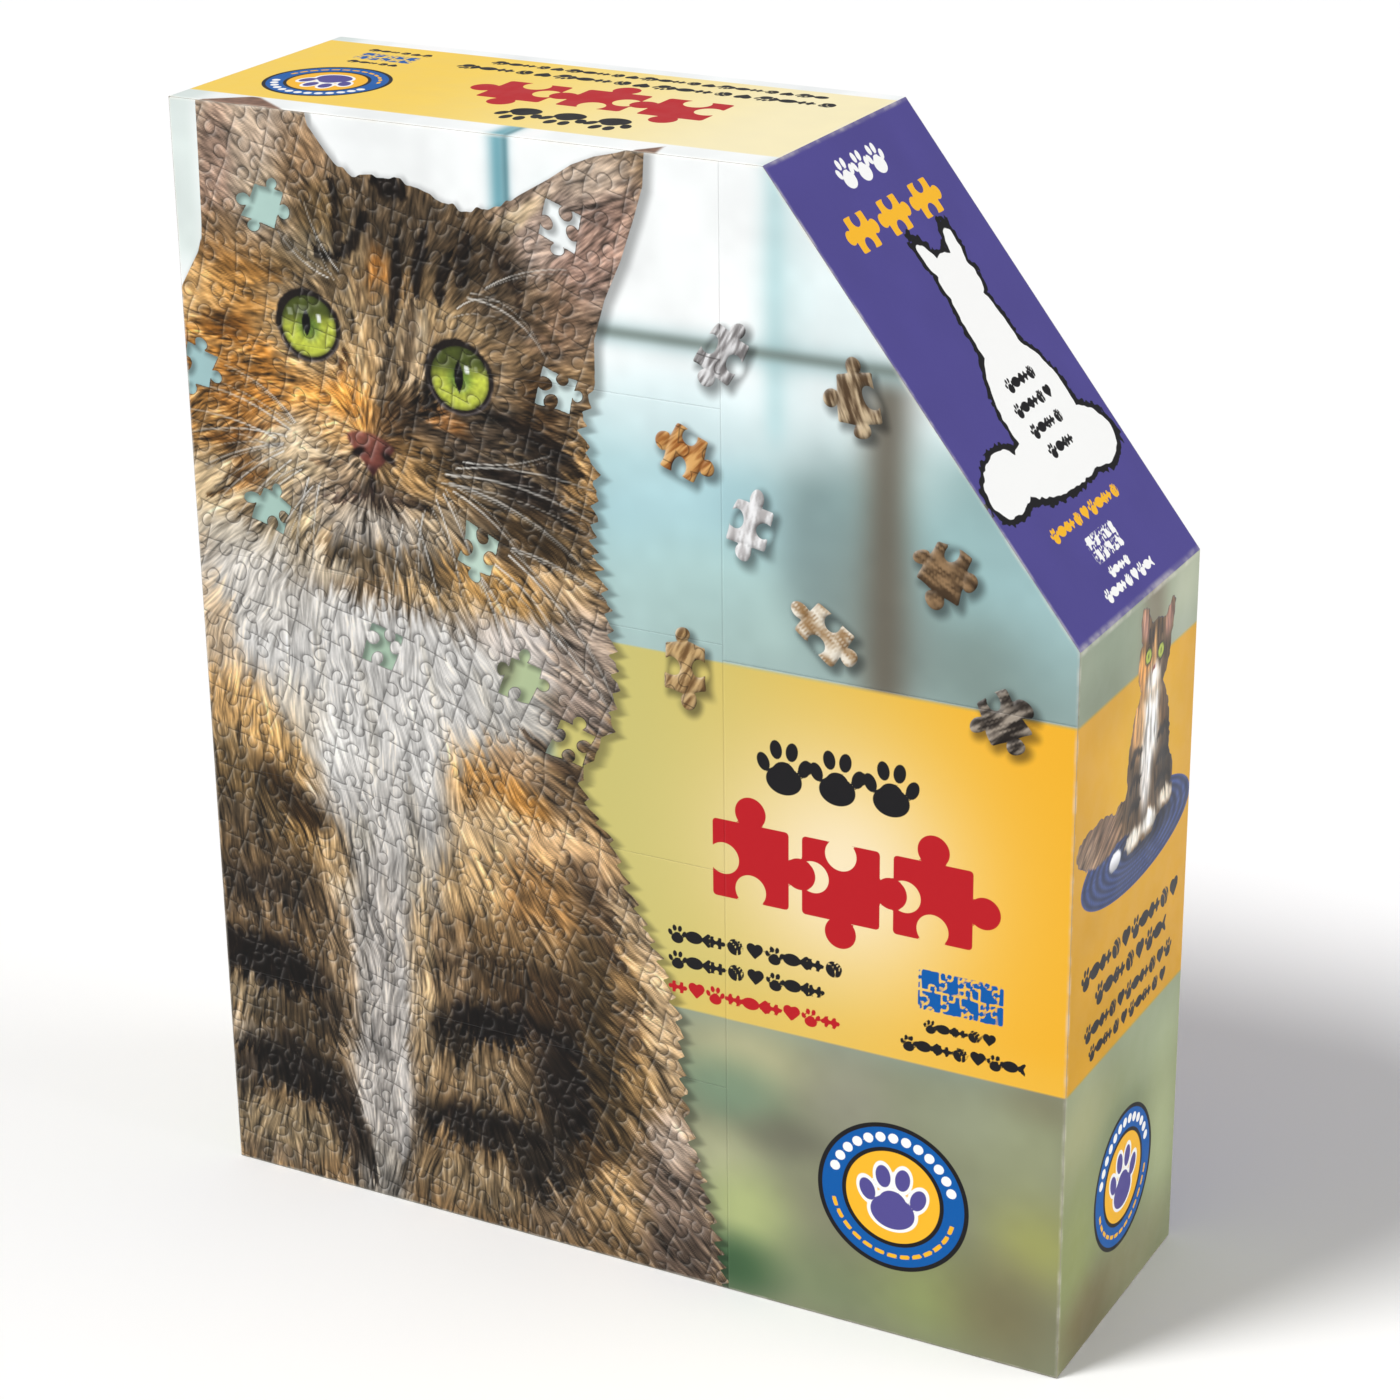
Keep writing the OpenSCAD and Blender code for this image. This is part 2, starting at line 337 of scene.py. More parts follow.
def dice(i, j, seed):
    """A fixed number from 0 to 1 for each pair of whole numbers, from an integer hash."""
    n = (i.astype(np.int64) * 374761393 + j.astype(np.int64) * 668265263 + seed * 1274126177) & 0xFFFFFFFF
    n = ((n ^ (n >> 13)) * 1103515245) & 0xFFFFFFFF
    return ((n ^ (n >> 16)) & 0xFFFF) / 65535


def noise(x, z, size, seed):
    """Value noise from -1 to 1: the dice of the four lattice corners round a point, blended."""
    u, v = x / size, z / size
    i, j = np.floor(u).astype(np.int64), np.floor(v).astype(np.int64)
    a, b = u - i, v - j
    a, b = a * a * (3 - 2 * a), b * b * (3 - 2 * b)
    low = dice(i, j, seed) * (1 - a) + dice(i + 1, j, seed) * a
    high = dice(i, j + 1, seed) * (1 - a) + dice(i + 1, j + 1, seed) * a
    return 2 * (low * (1 - b) + high * b) - 1


def jigsaw(x, z, pitch, turn, seed):
    """Jigsaw cuts: the distance to the nearest cut, signed by the piece like a chequer board, and
    the column and row of the piece that owns each point.

    The sheet is turned and gently warped, then divided into square cells. Each side of a cell has
    a round head that stands out of it one way or the other and is joined through a neck."""
    c, s = np.cos(np.radians(turn)), np.sin(np.radians(turn))
    u, v = x * c + z * s, z * c - x * s
    u = u + 0.20 * pitch * noise(x, z, pitch * 2.1, seed) + 0.09 * pitch * noise(x, z, pitch * 0.8, seed + 1)
    v = v + 0.20 * pitch * noise(x, z, pitch * 2.1, seed + 2) + 0.09 * pitch * noise(x, z, pitch * 0.8, seed + 3)
    i, j = np.floor(u / pitch).astype(np.int64), np.floor(v / pitch).astype(np.int64)
    across, up = u - i * pitch, v - j * pitch
    head = 0.180 * pitch
    reach = 0.80 * head
    half_neck = np.sqrt(head**2 - reach**2)
    best = np.full(x.shape, 1e9)
    own_i, own_j = i.copy(), j.copy()
    sides = ((0, 0, across, up), (1, 0, pitch - across, up), (0, 1, up, across), (1, 1, pitch - up, across))
    for far, turned, off, along in sides:
        ei, ej = (i, j + far) if turned else (i + far, j)
        way = np.where(dice(ei, ej, seed + 5 + turned) > 0.5, 1.0, -1.0)
        middle = pitch * (0.5 + 0.24 * (dice(ei, ej, seed + 7 + turned) - 0.5))
        inward = -way if far else way
        p, q = off - inward * reach, along - middle
        radius = np.hypot(p, q)
        beyond = inward * (off - p * (1 - head / np.maximum(radius, 1e-6))) > 0
        arc = np.where(beyond, np.abs(radius - head), 1e9)
        straight = np.where(np.abs(q) > half_neck, off, np.hypot(off, np.abs(q) - half_neck))
        best = np.minimum(best, np.minimum(arc, straight))
        taken = (inward > 0) & (radius < head)
        step = 1 if far else -1
        if turned:
            own_j = np.where(taken, j + step, own_j)
        else:
            own_i = np.where(taken, i + step, own_i)
    return best * np.where((own_i + own_j) % 2 == 0, 1, -1), own_i, own_j


def about(x, z, cx, cz, turn=0):
    """Coordinates measured from a centre, turned by an angle in degrees."""
    c, s = np.cos(np.radians(turn)), np.sin(np.radians(turn))
    return (x - cx) * c + (z - cz) * s, (z - cz) * c - (x - cx) * s


def oval(x, z, cx, cz, rx, rz, turn=0):
    """Depth inside an ellipse, in mm: 1 minus the scaled radius, times the smaller half-axis."""
    u, v = about(x, z, cx, cz, turn)
    return (1 - np.hypot(u / rx, v / rz)) * min(rx, rz)


def block(x, z, cx, cz, half_w, half_h, corner=0.0):
    """Depth inside a rectangle with rounded corners."""
    u, v = np.abs(x - cx) - half_w + corner, np.abs(z - cz) - half_h + corner
    return corner - np.hypot(np.maximum(u, 0), np.maximum(v, 0)) - np.minimum(np.maximum(u, v), 0)


def paw_sign(x, z, size):
    """Paw print of the given height round (0, 0): a broad pad and four toes."""
    s = size / 10
    depth = np.maximum(oval(x, z, 0, -2.2 * s, 3.4 * s, 2.7 * s), oval(x, z, 0, -0.9 * s, 2.2 * s, 2.1 * s))
    for cx, cz, turn in ((-3.9, 0.6, 22), (-1.5, 3.2, 8), (1.5, 3.2, -8), (3.9, 0.6, -22)):
        depth = np.maximum(depth, oval(x, z, cx * s, cz * s, 1.15 * s, 1.75 * s, turn))
    return depth


def piece_sign(x, z, size, knobs=(1, -1, 1, -1)):
    """Jigsaw piece of the given height round (0, 0): a square with a round knob or socket on its
    right, top, left and bottom."""
    half, head = 0.31 * size, 0.125 * size
    depth = block(x, z, 0, 0, half, half, 0.03 * size)
    for (ox, oz), way in zip(((1, 0), (0, 1), (-1, 0), (0, -1)), knobs):
        out = half + way * 0.72 * head
        knob = head - np.hypot(x - ox * out, z - oz * out)
        depth = np.maximum(depth, knob) if way > 0 else np.minimum(depth, -knob)
    return depth


def fish_sign(x, z, size):
    """Fish of the given height: an oval body and a forked tail."""
    s = size / 10
    tail = np.minimum(4.2 * s - np.abs(z) - 0.4 * np.abs(x - 5.5 * s), np.minimum(x - 2.6 * s, 6.2 * s - x + 0.5 * np.abs(z)))
    tail = np.minimum(tail, 0.25 * s + 0.95 * (x - 2.6 * s) - np.abs(z))
    return np.maximum(oval(x, z, -1.4 * s, 0, 4.8 * s, 3.3 * s), tail)


def ball_sign(x, z, size):
    """Ball of wool of the given height: a disc with two curved gaps."""
    s = size / 10
    disc = 4.4 * s - np.hypot(x, z)
    gap = np.minimum(np.abs(np.hypot(x + 5 * s, z + 3 * s) - 6 * s), np.abs(np.hypot(x + 5 * s, z + 3 * s) - 8.6 * s))
    return np.minimum(disc, gap - 0.35 * s)


def heart_sign(x, z, size):
    """Heart of the given height: two discs above a square corner."""
    s = size / 10
    tip = 4.1 * s - (np.abs(x) - 0.15 * s) - np.abs(z + 0.0 * s)
    lobes = 2.5 * s - np.hypot(np.abs(x) - 2.0 * s, z - 1.7 * s)
    return np.maximum(lobes, np.minimum(tip * 0.7, 1.6 * s - z))


def sign_row(x, z, left, right, low, high, order=(paw_sign, fish_sign, piece_sign, ball_sign, heart_sign), turn=0):
    """Depth inside a line of small signs from left to right, between low and high."""
    size = high - low
    count = max(1, round((right - left) / (1.08 * size)))
    depth = np.full(x.shape, -9.0)
    for n in range(count):
        u, v = about(x, z, left + (n + 0.5) * (right - left) / count, (low + high) / 2, turn)
        near = (np.abs(u) < size) & (np.abs(v) < size)
        if near.any():
            depth[near] = np.maximum(depth[near], order[n % len(order)](u[near], v[near], size))
    return depth


def lay_ink(inks, name, depth):
    """Adds a shape to an ink."""
    inks[name] = np.maximum(inks.get(name, -9.0), depth)


def badge(inks, x, z, cx, cz, radius, turn=0):
    """Round badge: a black rim, a blue ring with white and yellow dots, and a violet paw on yellow."""
    u, v = about(x, z, cx, cz, turn)
    s = radius / 20.3
    far = np.hypot(u, v)
    lay_ink(inks, "black", 20.3 * s - far)
    lay_ink(inks, "blue", np.minimum(19.1 * s - far, far - 13.7 * s))
    lay_ink(inks, "yellow", 12.6 * s - far)
    angle = np.arctan2(u, v)
    step = np.radians(12)
    nearest = np.round(angle / step) * step
    dot = 1.35 * s - np.hypot((angle - nearest) * 16.4 * s, far - 16.4 * s)
    lay_ink(inks, "white", np.where(np.abs(nearest) < 1.3, dot, -9.0))
    dash = np.minimum(0.55 * s - np.abs(far - 16.4 * s), 1.3 * s - np.abs(angle - nearest) * 16.4 * s)
    lay_ink(inks, "yellow", np.where(np.abs(nearest) > 1.75, dash, -9.0))
    paw = paw_sign(u, v + 0.3 * s, 17.5 * s)
    lay_ink(inks, "white", paw + 0.75 * s)
    lay_ink(inks, "violet", paw)


INKS = {"black": (26, 25, 28), "blue": (0, 92, 172), "yellow": (253, 190, 45), "red": (190, 24, 34),
        "white": (254, 254, 252), "violet": (86, 79, 150)}


def printed_paper(name, inks, cut_out=False):
    """Printed, lightly varnished paper.

    The picture is the colour 'tone'. Where cut_out is set, the colour 'coat' lies over it wherever
    'edge' is above zero, crossed by dark jigsaw cuts where 'cut' is near zero. Then comes each ink,
    wherever its depth is above zero. Near a fold the varnish is rubbed and pale paper shows, and a
    faint pale line along every fold is a painted highlight of the rounded edge."""
    material, tree, shader = new_finish(name, Roughness=0.4, Specular_IOR_Level=0.13)
    place = wire(tree, "ShaderNodeTexCoord")

    def number(label):
        return wire(tree, "ShaderNodeAttribute", attribute_name=label).outputs["Fac"]

    def ramp(value, low, high, bottom, top):
        return wire(tree, "ShaderNodeMapRange", {"Value": value, "From Min": low, "From Max": high, "To Min": bottom,
                                                 "To Max": top}, interpolation_type="SMOOTHSTEP").outputs[0]

    def blend(factor, below, above):
        return wire(tree, "ShaderNodeMix", {"Factor": factor, 6: below, 7: above}, data_type="RGBA").outputs[2]

    def times(one, other):
        return wire(tree, "ShaderNodeMath", {0: one, 1: other}, operation="MULTIPLY").outputs[0]

    colour = wire(tree, "ShaderNodeAttribute", attribute_name="tone").outputs["Color"]
    if cut_out:
        coat = wire(tree, "ShaderNodeAttribute", attribute_name="coat").outputs["Color"]
        over = ramp(number("edge"), -0.10, 0.10, 0.0, 1.0)
        size = wire(tree, "ShaderNodeMath", {0: number("cut")}, operation="ABSOLUTE").outputs[0]
        groove = ramp(size, 0.06, 0.28, 0.52, 0.0)
        colour = blend(over, colour, coat)
        colour = blend(times(groove, over), colour, paint(20, 16, 14))
    for ink, shade in INKS.items():
        if ink in inks:
            colour = blend(ramp(number("ink_" + ink), -0.10, 0.10, 0.0, 1.0), colour, paint(*shade))
    grain = wire(tree, "ShaderNodeTexNoise", {"Vector": place.outputs["Object"], "Scale": 1800.0, "Detail": 3.0})
    rub = wire(tree, "ShaderNodeTexNoise", {"Vector": place.outputs["Object"], "Scale": 160.0, "Detail": 5.0})
    # Pale paper near a fold: rubbed patches where the noise is high, and everywhere a faint pale line along the fold,
    # which is a painted highlight of the rounded edge.
    rub_and_fold_highlight = times(ramp(number("fold"), 0.25, 1.1, 1.0, 0.0), ramp(rub.outputs["Fac"], 0.42, 0.68, 0.10, 0.42))
    colour = blend(rub_and_fold_highlight, colour, paint(238, 232, 220))
    tree.links.new(colour, shader.inputs["Base Color"])
    tree.links.new(ramp(rub.outputs["Fac"], 0.3, 0.7, 0.31, 0.40), shader.inputs["Roughness"])
    slow = wire(tree, "ShaderNodeTexNoise", {"Vector": place.outputs["Object"], "Scale": 22.0, "Detail": 2.0})
    wave = wire(tree, "ShaderNodeBump", {"Height": slow.outputs["Fac"], "Strength": 0.20, "Distance": 0.0015})
    relief = wire(tree, "ShaderNodeBump", {"Height": grain.outputs["Fac"], "Strength": 0.05, "Distance": 0.0001,
                                           "Normal": wave.outputs[0]})
    tree.links.new(relief.outputs[0], shader.inputs["Normal"])
    return material


def from_fold(x, y, z, inset, front, back):
    """Distance to the nearest folded edge: the second smallest distance to the box half's faces."""
    corners = outline(inset)
    gaps = [y - front, back - y]
    for (ax, az), (bx, bz) in zip(corners, np.roll(corners, -1, axis=0)):
        gaps.append(((bx - ax) * (z - az) - (bz - az) * (x - ax)) / np.hypot(bx - ax, bz - az))
    return np.sort(np.abs(np.stack(gaps)), axis=0)[1]


def grid(left, right, low, high, step, rim=()):
    """Evenly spaced coordinates over a rectangle, with a few closer lines 0.1 to 1.2 mm inside each
    edge named in rim, where the paper bends."""
    lines = []
    for a, b, near, far in ((left, right, "left", "right"), (low, high, "low", "high")):
        line = np.linspace(a, b, max(3, int(round((b - a) / step)) + 1))
        close = np.array((0.12, 0.28, 0.48, 0.8))
        if near in rim:
            line = np.concatenate(((a,), a + close, line[line > a + 1.0]))
        if far in rim:
            line = np.concatenate((line[line < b - 1.0], b - close[::-1], (b,)))
        lines.append(line)
    return np.meshgrid(*lines)


def clad(name, x, y, z, inset, front, back, tone, inks, material, **extra):
    """A printed sheet over part of a box half: grid points on the sharp shape, rounded at the folds."""
    outer = rounded(x, y, z, inset, front, back)
    inner = rounded(x, y, z, inset, front, back, -WRAP)
    sizes = {"ink_" + ink: np.broadcast_to(inks.get(ink, -9.0), x.shape) for ink in INKS}
    sizes["fold"] = from_fold(x, y, z, inset, front, back)
    tones = {"tone": tone}
    for key, value in extra.items():
        (tones if value.ndim == 3 else sizes)[key] = value
    return paper(name, outer, inner, tones, sizes, material)


def lining(name, inset, panel, rim, with_walls, colour_at, material, step=2.0):
    """Paper round the rim of a box half as one closed ring, with or without its five walls.

    The section starts on the fold beside the panel and runs along the wall to the rim, or starts on
    the rim's outer edge. It goes over the board's edge and down the inside, then returns against
    the board. It follows the outline, whose sides are divided about every step mm."""
    way = 1 if rim > panel else -1
    thick = 2 * WRAP + BOARD
    depths = np.concatenate(((0.0, 0.12, 0.3, 0.55, 0.8), np.arange(3, abs(rim - panel) - 1.2, 3.0)))
    section = [(0.0, panel + way * d) for d in depths] if with_walls else []
    section += [(0.0, rim - way * d) for d in (0.8, 0.5, 0.25) if with_walls] + [(0.0, rim)]
    section += [(t, rim) for t in (0.25, 0.5, 0.8, 1.2, thick - 0.25)]
    section += [(thick, rim - way * d) for d in (0.25, 3.0, 8.0, TURN_IN)]
    section += [(thick - WRAP, rim - way * d) for d in (TURN_IN, 3.0, WRAP)]
    section += [(WRAP, rim - way * WRAP * 1.5)] + [(WRAP, panel + way * WRAP * 1.5)] * with_walls
    t, y = np.array(section).T
    lengths = np.linalg.norm(np.roll(outline(inset), -1, axis=0) - outline(inset), axis=1)
    rings = []
    for inward, deep in zip(t, y):
        corners = outline(inset + inward)
        ring = []
        for a, b, length in zip(corners, np.roll(corners, -1, axis=0), lengths):
            share = np.linspace(0, 1, int(length / step), endpoint=False)[1:]
            share = np.concatenate(((0, 0.25 / length, 0.7 / length), share, (1 - 0.7 / length, 1 - 0.25 / length)))
            ring.append(a + share[:, None] * (b - a))
        ring = np.concatenate(ring)
        rings.append(np.stack((ring[:, 0], np.full(len(ring), deep), ring[:, 1]), axis=-1))
    sharp = np.stack(rings)
    low, high = min(rim, panel), max(rim, panel)
    soft = rounded(sharp[..., 0], sharp[..., 1], sharp[..., 2], inset, low, high)
    on_outside = (t < WRAP / 2) | ((np.abs(y - rim) < 1e-6) & (t < CORNER_R))
    points = np.where(on_outside[:, None, None], soft, sharp)
    count, around = points.shape[:2]
    number = np.arange(count * around).reshape(count, around)
    a, b = number, np.roll(number, -1, axis=1)
    c, d = np.roll(b, -1, axis=0), np.roll(a, -1, axis=0)
    quads = np.stack((a, d, c, b) if way > 0 else (a, b, c, d), axis=-1).reshape(-1, 4)
    fold = from_fold(sharp[..., 0], sharp[..., 1], sharp[..., 2], inset, low, high)
    fold = np.where(t[:, None] > 1.2, 4.0, fold)
    shade = colour_at(sharp[..., 0], sharp[..., 2])
    made = build_mesh(name, points.reshape(-1, 3), [quads], None, None, {"tone": shade.reshape(-1, 3)},
                      {"fold": fold.ravel()})
    made.data.materials.append(material)
    return made


def back_art(x, z):
    """Violet panel with a paler jigsaw pattern, a badge, a row of pieces and lines of signs."""
    signed = jigsaw(x, z, 24, 12, 41)[0]
    tone = np.ones(x.shape + (3,)) * np.array(INKS["violet"]) / 255
    tone *= (1 + 0.05 * np.sign(signed) * smooth(0.2, 0.6, np.abs(signed)) - 0.16 * (1 - smooth(0.3, 0.75, np.abs(signed))))[..., None]
    inks = {}
    lay_ink(inks, "yellow", block(x, z, 0, 150, 84, 37, 4))
    lay_ink(inks, "yellow", sign_row(x, z, -62, 62, 226, 252, (piece_sign,)))
    lay_ink(inks, "white", sign_row(x, z, -50, 50, 200, 210, (paw_sign,)))
    for low, high in ((96, 102), (86, 91), (77, 81)):
        lay_ink(inks, "white", sign_row(x, z, -70, 70, low, high))
    badge(inks, x, z, 0, 42, 24)
    red = -9.0 + 0 * x
    for cx in (-50, 0, 50):
        u, v = about(x, z, cx, 152, 0)
        red = np.maximum(red, piece_sign(u, v, 46, (1, -1, -1, 1) if cx else (-1, 1, 1, -1)))
    lay_ink(inks, "red", red)
    return tone, inks


tray_print = printed_paper("tray_print", ("black", "blue", "red", "yellow", "white", "violet"))
tray_plain = printed_paper("tray_plain", ())


def violet_at(x, z):
    """The wrap's violet, very slightly clouded."""
    shade = 1 + 0.03 * noise(x, z, 11, 51)
    return np.array(INKS["violet"]) / 255 * shade[..., None]


def pentagon_grid(inset, low, high, step, mirrored=False, left=None, right=None):
    """Coordinates over the part of the outline between two heights, rows running from side to side.

    Each row is stretched to end on the right side or the slant, wherever that lies at its height."""
    corners = outline(inset)
    heights = grid(0, 1, low, high, step, [k for k, v in (("low", low <= inset), ("high", high >= corners[3, 1])) if v])[1][:, 0]
    if low < corners[2, 1] < high:
        heights[np.argmin(np.abs(heights - corners[2, 1]))] = corners[2, 1]
    start = corners[0, 0] if left is None else left
    widest = corners[1, 0] if right is None else right
    base = grid(start, widest, 0, 1, step, [k for k, v in (("left", left is None), ("right", right is None)) if v])[0][0]
    ends = np.interp(heights, (0, corners[2, 1], corners[3, 1]), (corners[1, 0], corners[2, 0], corners[3, 0]))
    ends = np.minimum(ends, widest)
    bend = 1.0 if right is None else 0.0
    x = start + (base - start) / (widest - bend - start) * (ends[:, None] - bend - start)
    x = np.where(base > widest - bend, ends[:, None] - (widest - base), x)
    z = np.repeat(heights[:, None], len(base), axis=1)
    return (x[:, ::-1], z[:, ::-1]) if mirrored else (x, z)


for part, (low, high) in {"lower": (TRAY_INSET, 140), "upper": (140, BOX_H - TRAY_INSET)}.items():
    x, z = pentagon_grid(TRAY_INSET, low, high, 1.25, mirrored=True)
    tone, inks = back_art(x, z)
    back_print = clad("tray_back_print_" + part, x, np.full(x.shape, TRAY_BACK), z, TRAY_INSET, TRAY_FRONT, TRAY_BACK,
                      tone, inks, tray_print)
    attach(back_print, "tray")
    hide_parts("tray_wrap")
tray_lining = lining("tray_wall_wrap", TRAY_INSET, TRAY_BACK, TRAY_FRONT, True, violet_at, tray_plain)
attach(tray_lining, "tray")
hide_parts("tray_wrap")


# The jigsaw pieces, 550 of them in twelve groups by what they show: 1.9 mm board, printed on the
# upper face, grey-blue on the back, with die-cut edges where the board's layers show.
REGION_COATS = {
    "left_ear": ((108, 66, 52), (186, 148, 128)), "right_ear": ((96, 62, 52), (176, 140, 122)),
    "forehead": ((44, 34, 26), (158, 122, 76)), "eye": ((60, 66, 28), (176, 178, 66)),
    "muzzle": ((150, 118, 92), (226, 208, 188)), "cheek": ((142, 86, 38), (222, 166, 98)),
    "bib": ((176, 170, 168), (244, 242, 240)), "shoulder": ((96, 60, 30), (196, 142, 84)),
    "flank": ((70, 62, 56), (176, 160, 144)), "foreleg": ((36, 28, 20), (168, 140, 96)),
    "paw": ((150, 140, 128), (236, 230, 222)), "tail": ((26, 22, 20), (122, 98, 70))}


def piece_finish(region, dark, light):
    """Puzzle board: streaky fur print where the face points up, speckled grey-blue paper where it
    points down, and layered grey board round the cut edge."""
    material, tree, shader = new_finish("puzzle_" + region, Roughness=0.45, Coat_Weight=0.12, Coat_Roughness=0.2)
    place = wire(tree, "ShaderNodeTexCoord")
    facing = wire(tree, "ShaderNodeSeparateXYZ", {0: wire(tree, "ShaderNodeNewGeometry").outputs["True Normal"]})
    up = wire(tree, "ShaderNodeMath", {0: facing.outputs[2], 1: 0.5}, operation="GREATER_THAN").outputs[0]
    down = wire(tree, "ShaderNodeMath", {0: facing.outputs[2], 1: -0.5}, operation="LESS_THAN").outputs[0]
    swirl = wire(tree, "ShaderNodeTexNoise", {"Vector": place.outputs["Object"], "Scale": 38.0, "Distortion": 1.2})
    bands = wire(tree, "ShaderNodeTexWave", {"Vector": place.outputs["Object"], "Scale": 42.0, "Distortion": 22.0,
                                             "Detail": 4.0, "Detail Scale": 2.2})
    hair = wire(tree, "ShaderNodeMix", {"Factor": 0.45, 2: bands.outputs["Fac"], 3: swirl.outputs["Fac"]})
    fur = wire(tree, "ShaderNodeValToRGB", {"Fac": hair.outputs[0]})
    fur.color_ramp.elements[0].position, fur.color_ramp.elements[1].position = 0.25, 0.75
    fur.color_ramp.elements[0].color, fur.color_ramp.elements[1].color = paint(*dark), paint(*light)
    speck = wire(tree, "ShaderNodeTexNoise", {"Vector": place.outputs["Object"], "Scale": 700.0, "Detail": 3.0})
    core = wire(tree, "ShaderNodeTexWave", {"Vector": place.outputs["Object"], "Scale": 330.0, "Distortion": 1.5},
                bands_direction="Z")
    edge = wire(tree, "ShaderNodeValToRGB", {"Fac": core.outputs["Fac"]})
    edge.color_ramp.elements[0].color, edge.color_ramp.elements[1].color = paint(150, 142, 130), paint(196, 190, 178)
    under = wire(tree, "ShaderNodeValToRGB", {"Fac": speck.outputs["Fac"]})
    under.color_ramp.elements[0].color, under.color_ramp.elements[1].color = paint(120, 134, 148), paint(170, 182, 192)
    sides = wire(tree, "ShaderNodeMix", {"Factor": down, 6: edge.outputs["Color"], 7: under.outputs["Color"]},
                 data_type="RGBA")
    final = wire(tree, "ShaderNodeMix", {"Factor": up, 6: sides.outputs[2], 7: fur.outputs["Color"]}, data_type="RGBA")
    tree.links.new(final.outputs[2], shader.inputs["Base Color"])
    relief = wire(tree, "ShaderNodeBump", {"Height": speck.outputs["Fac"], "Strength": 0.25, "Distance": 0.0001})
    tree.links.new(relief.outputs[0], shader.inputs["Normal"])
    return material


for region, (dark, light) in REGION_COATS.items():
    dress(region + "_pieces", piece_finish(region, dark, light))


# The picture, which the sheet and the lid both print: a tabby and white cat with green eyes before an
# out-of-focus window and garden. It is worked out in mm from the picture's lower left corner, from
# soft spots and strokes of colour that are looked up along the lie of the fur.
def strands(x, z, dx, dz, size, reach, seed):
    """Noise smeared along the direction (dx, dz): the mean over steps from -reach to reach."""
    steps = max(7, int(2.2 * np.max(reach) / size))
    total = np.zeros_like(x)
    weight = 0
    for k in np.linspace(-1, 1, steps):
        w = 1 - 0.75 * abs(k)
        total += w * noise(x + dx * k * reach, z + dz * k * reach, size, seed)
        weight += w * w
    return total / np.sqrt(weight) / 0.55


def blot(colour, x, z, spot, tint):
    """Lays a soft-edged tilted ellipse over the colour: spot is centre, radii, tilt, softness, strength."""
    cx, cz, rx, rz, tilt, soft, strength = spot
    c, s = np.cos(np.radians(tilt)), np.sin(np.radians(tilt))
    u, v = (x - cx) * c + (z - cz) * s, (z - cz) * c - (x - cx) * s
    far = np.hypot(u / rx, v / rz)
    near = far < 1 + soft
    w = (strength * (1 - smooth(1 - soft, 1 + soft, far[near])))[..., None]
    colour[near] += w * (np.array(tint) / 255 - colour[near])


def stroke_distance(x, z, points):
    """Distance to a chain of straight segments, and how far along the chain the nearest point is, 0 to 1."""
    best = np.full(x.shape, 1e9)
    along = np.zeros(x.shape)
    spans = [np.hypot(q[0] - p[0], q[1] - p[1]) for p, q in zip(points, points[1:])]
    start = 0
    for (p, q), span in zip(zip(points, points[1:]), spans):
        t = np.clip(((x - p[0]) * (q[0] - p[0]) + (z - p[1]) * (q[1] - p[1])) / span**2, 0, 1)
        d = np.hypot(x - p[0] - t * (q[0] - p[0]), z - p[1] - t * (q[1] - p[1]))
        near = d < best
        along = np.where(near, (start + t * span) / sum(spans), along)
        best = np.minimum(best, d)
        start += span
    return best, along


def bend(p, q, sag, count=7):
    """Points on a parabola from p to q, pushed sideways by sag in the middle."""
    t = np.linspace(0, 1, count)
    side = np.array([p[1] - q[1], q[0] - p[0]]) / np.hypot(q[0] - p[0], q[1] - p[1])
    return [tuple(r) for r in np.outer(1 - t, p) + np.outer(t, q) + np.outer(4 * sag * t * (1 - t), side)]


def stripe(colour, x, z, points, width, soft, tint, strength=1.0):
    """Lays a brush stroke over the colour, widest in the middle and pointed at both ends."""
    (low_x, low_z), (high_x, high_z) = np.min(points, axis=0) - 2 * width, np.max(points, axis=0) + 2 * width
    near = (x > low_x) & (x < high_x) & (z > low_z) & (z < high_z)
    if near.any():
        d, along = stroke_distance(x[near], z[near], points)
        half = width * (0.35 + 0.65 * np.sqrt(np.clip(4 * along * (1 - along), 0, 1)))
        w = (strength * (1 - smooth(half * (1 - soft), half * (1 + soft), d)))[..., None]
        colour[near] += w * (np.array(tint) / 255 - colour[near])


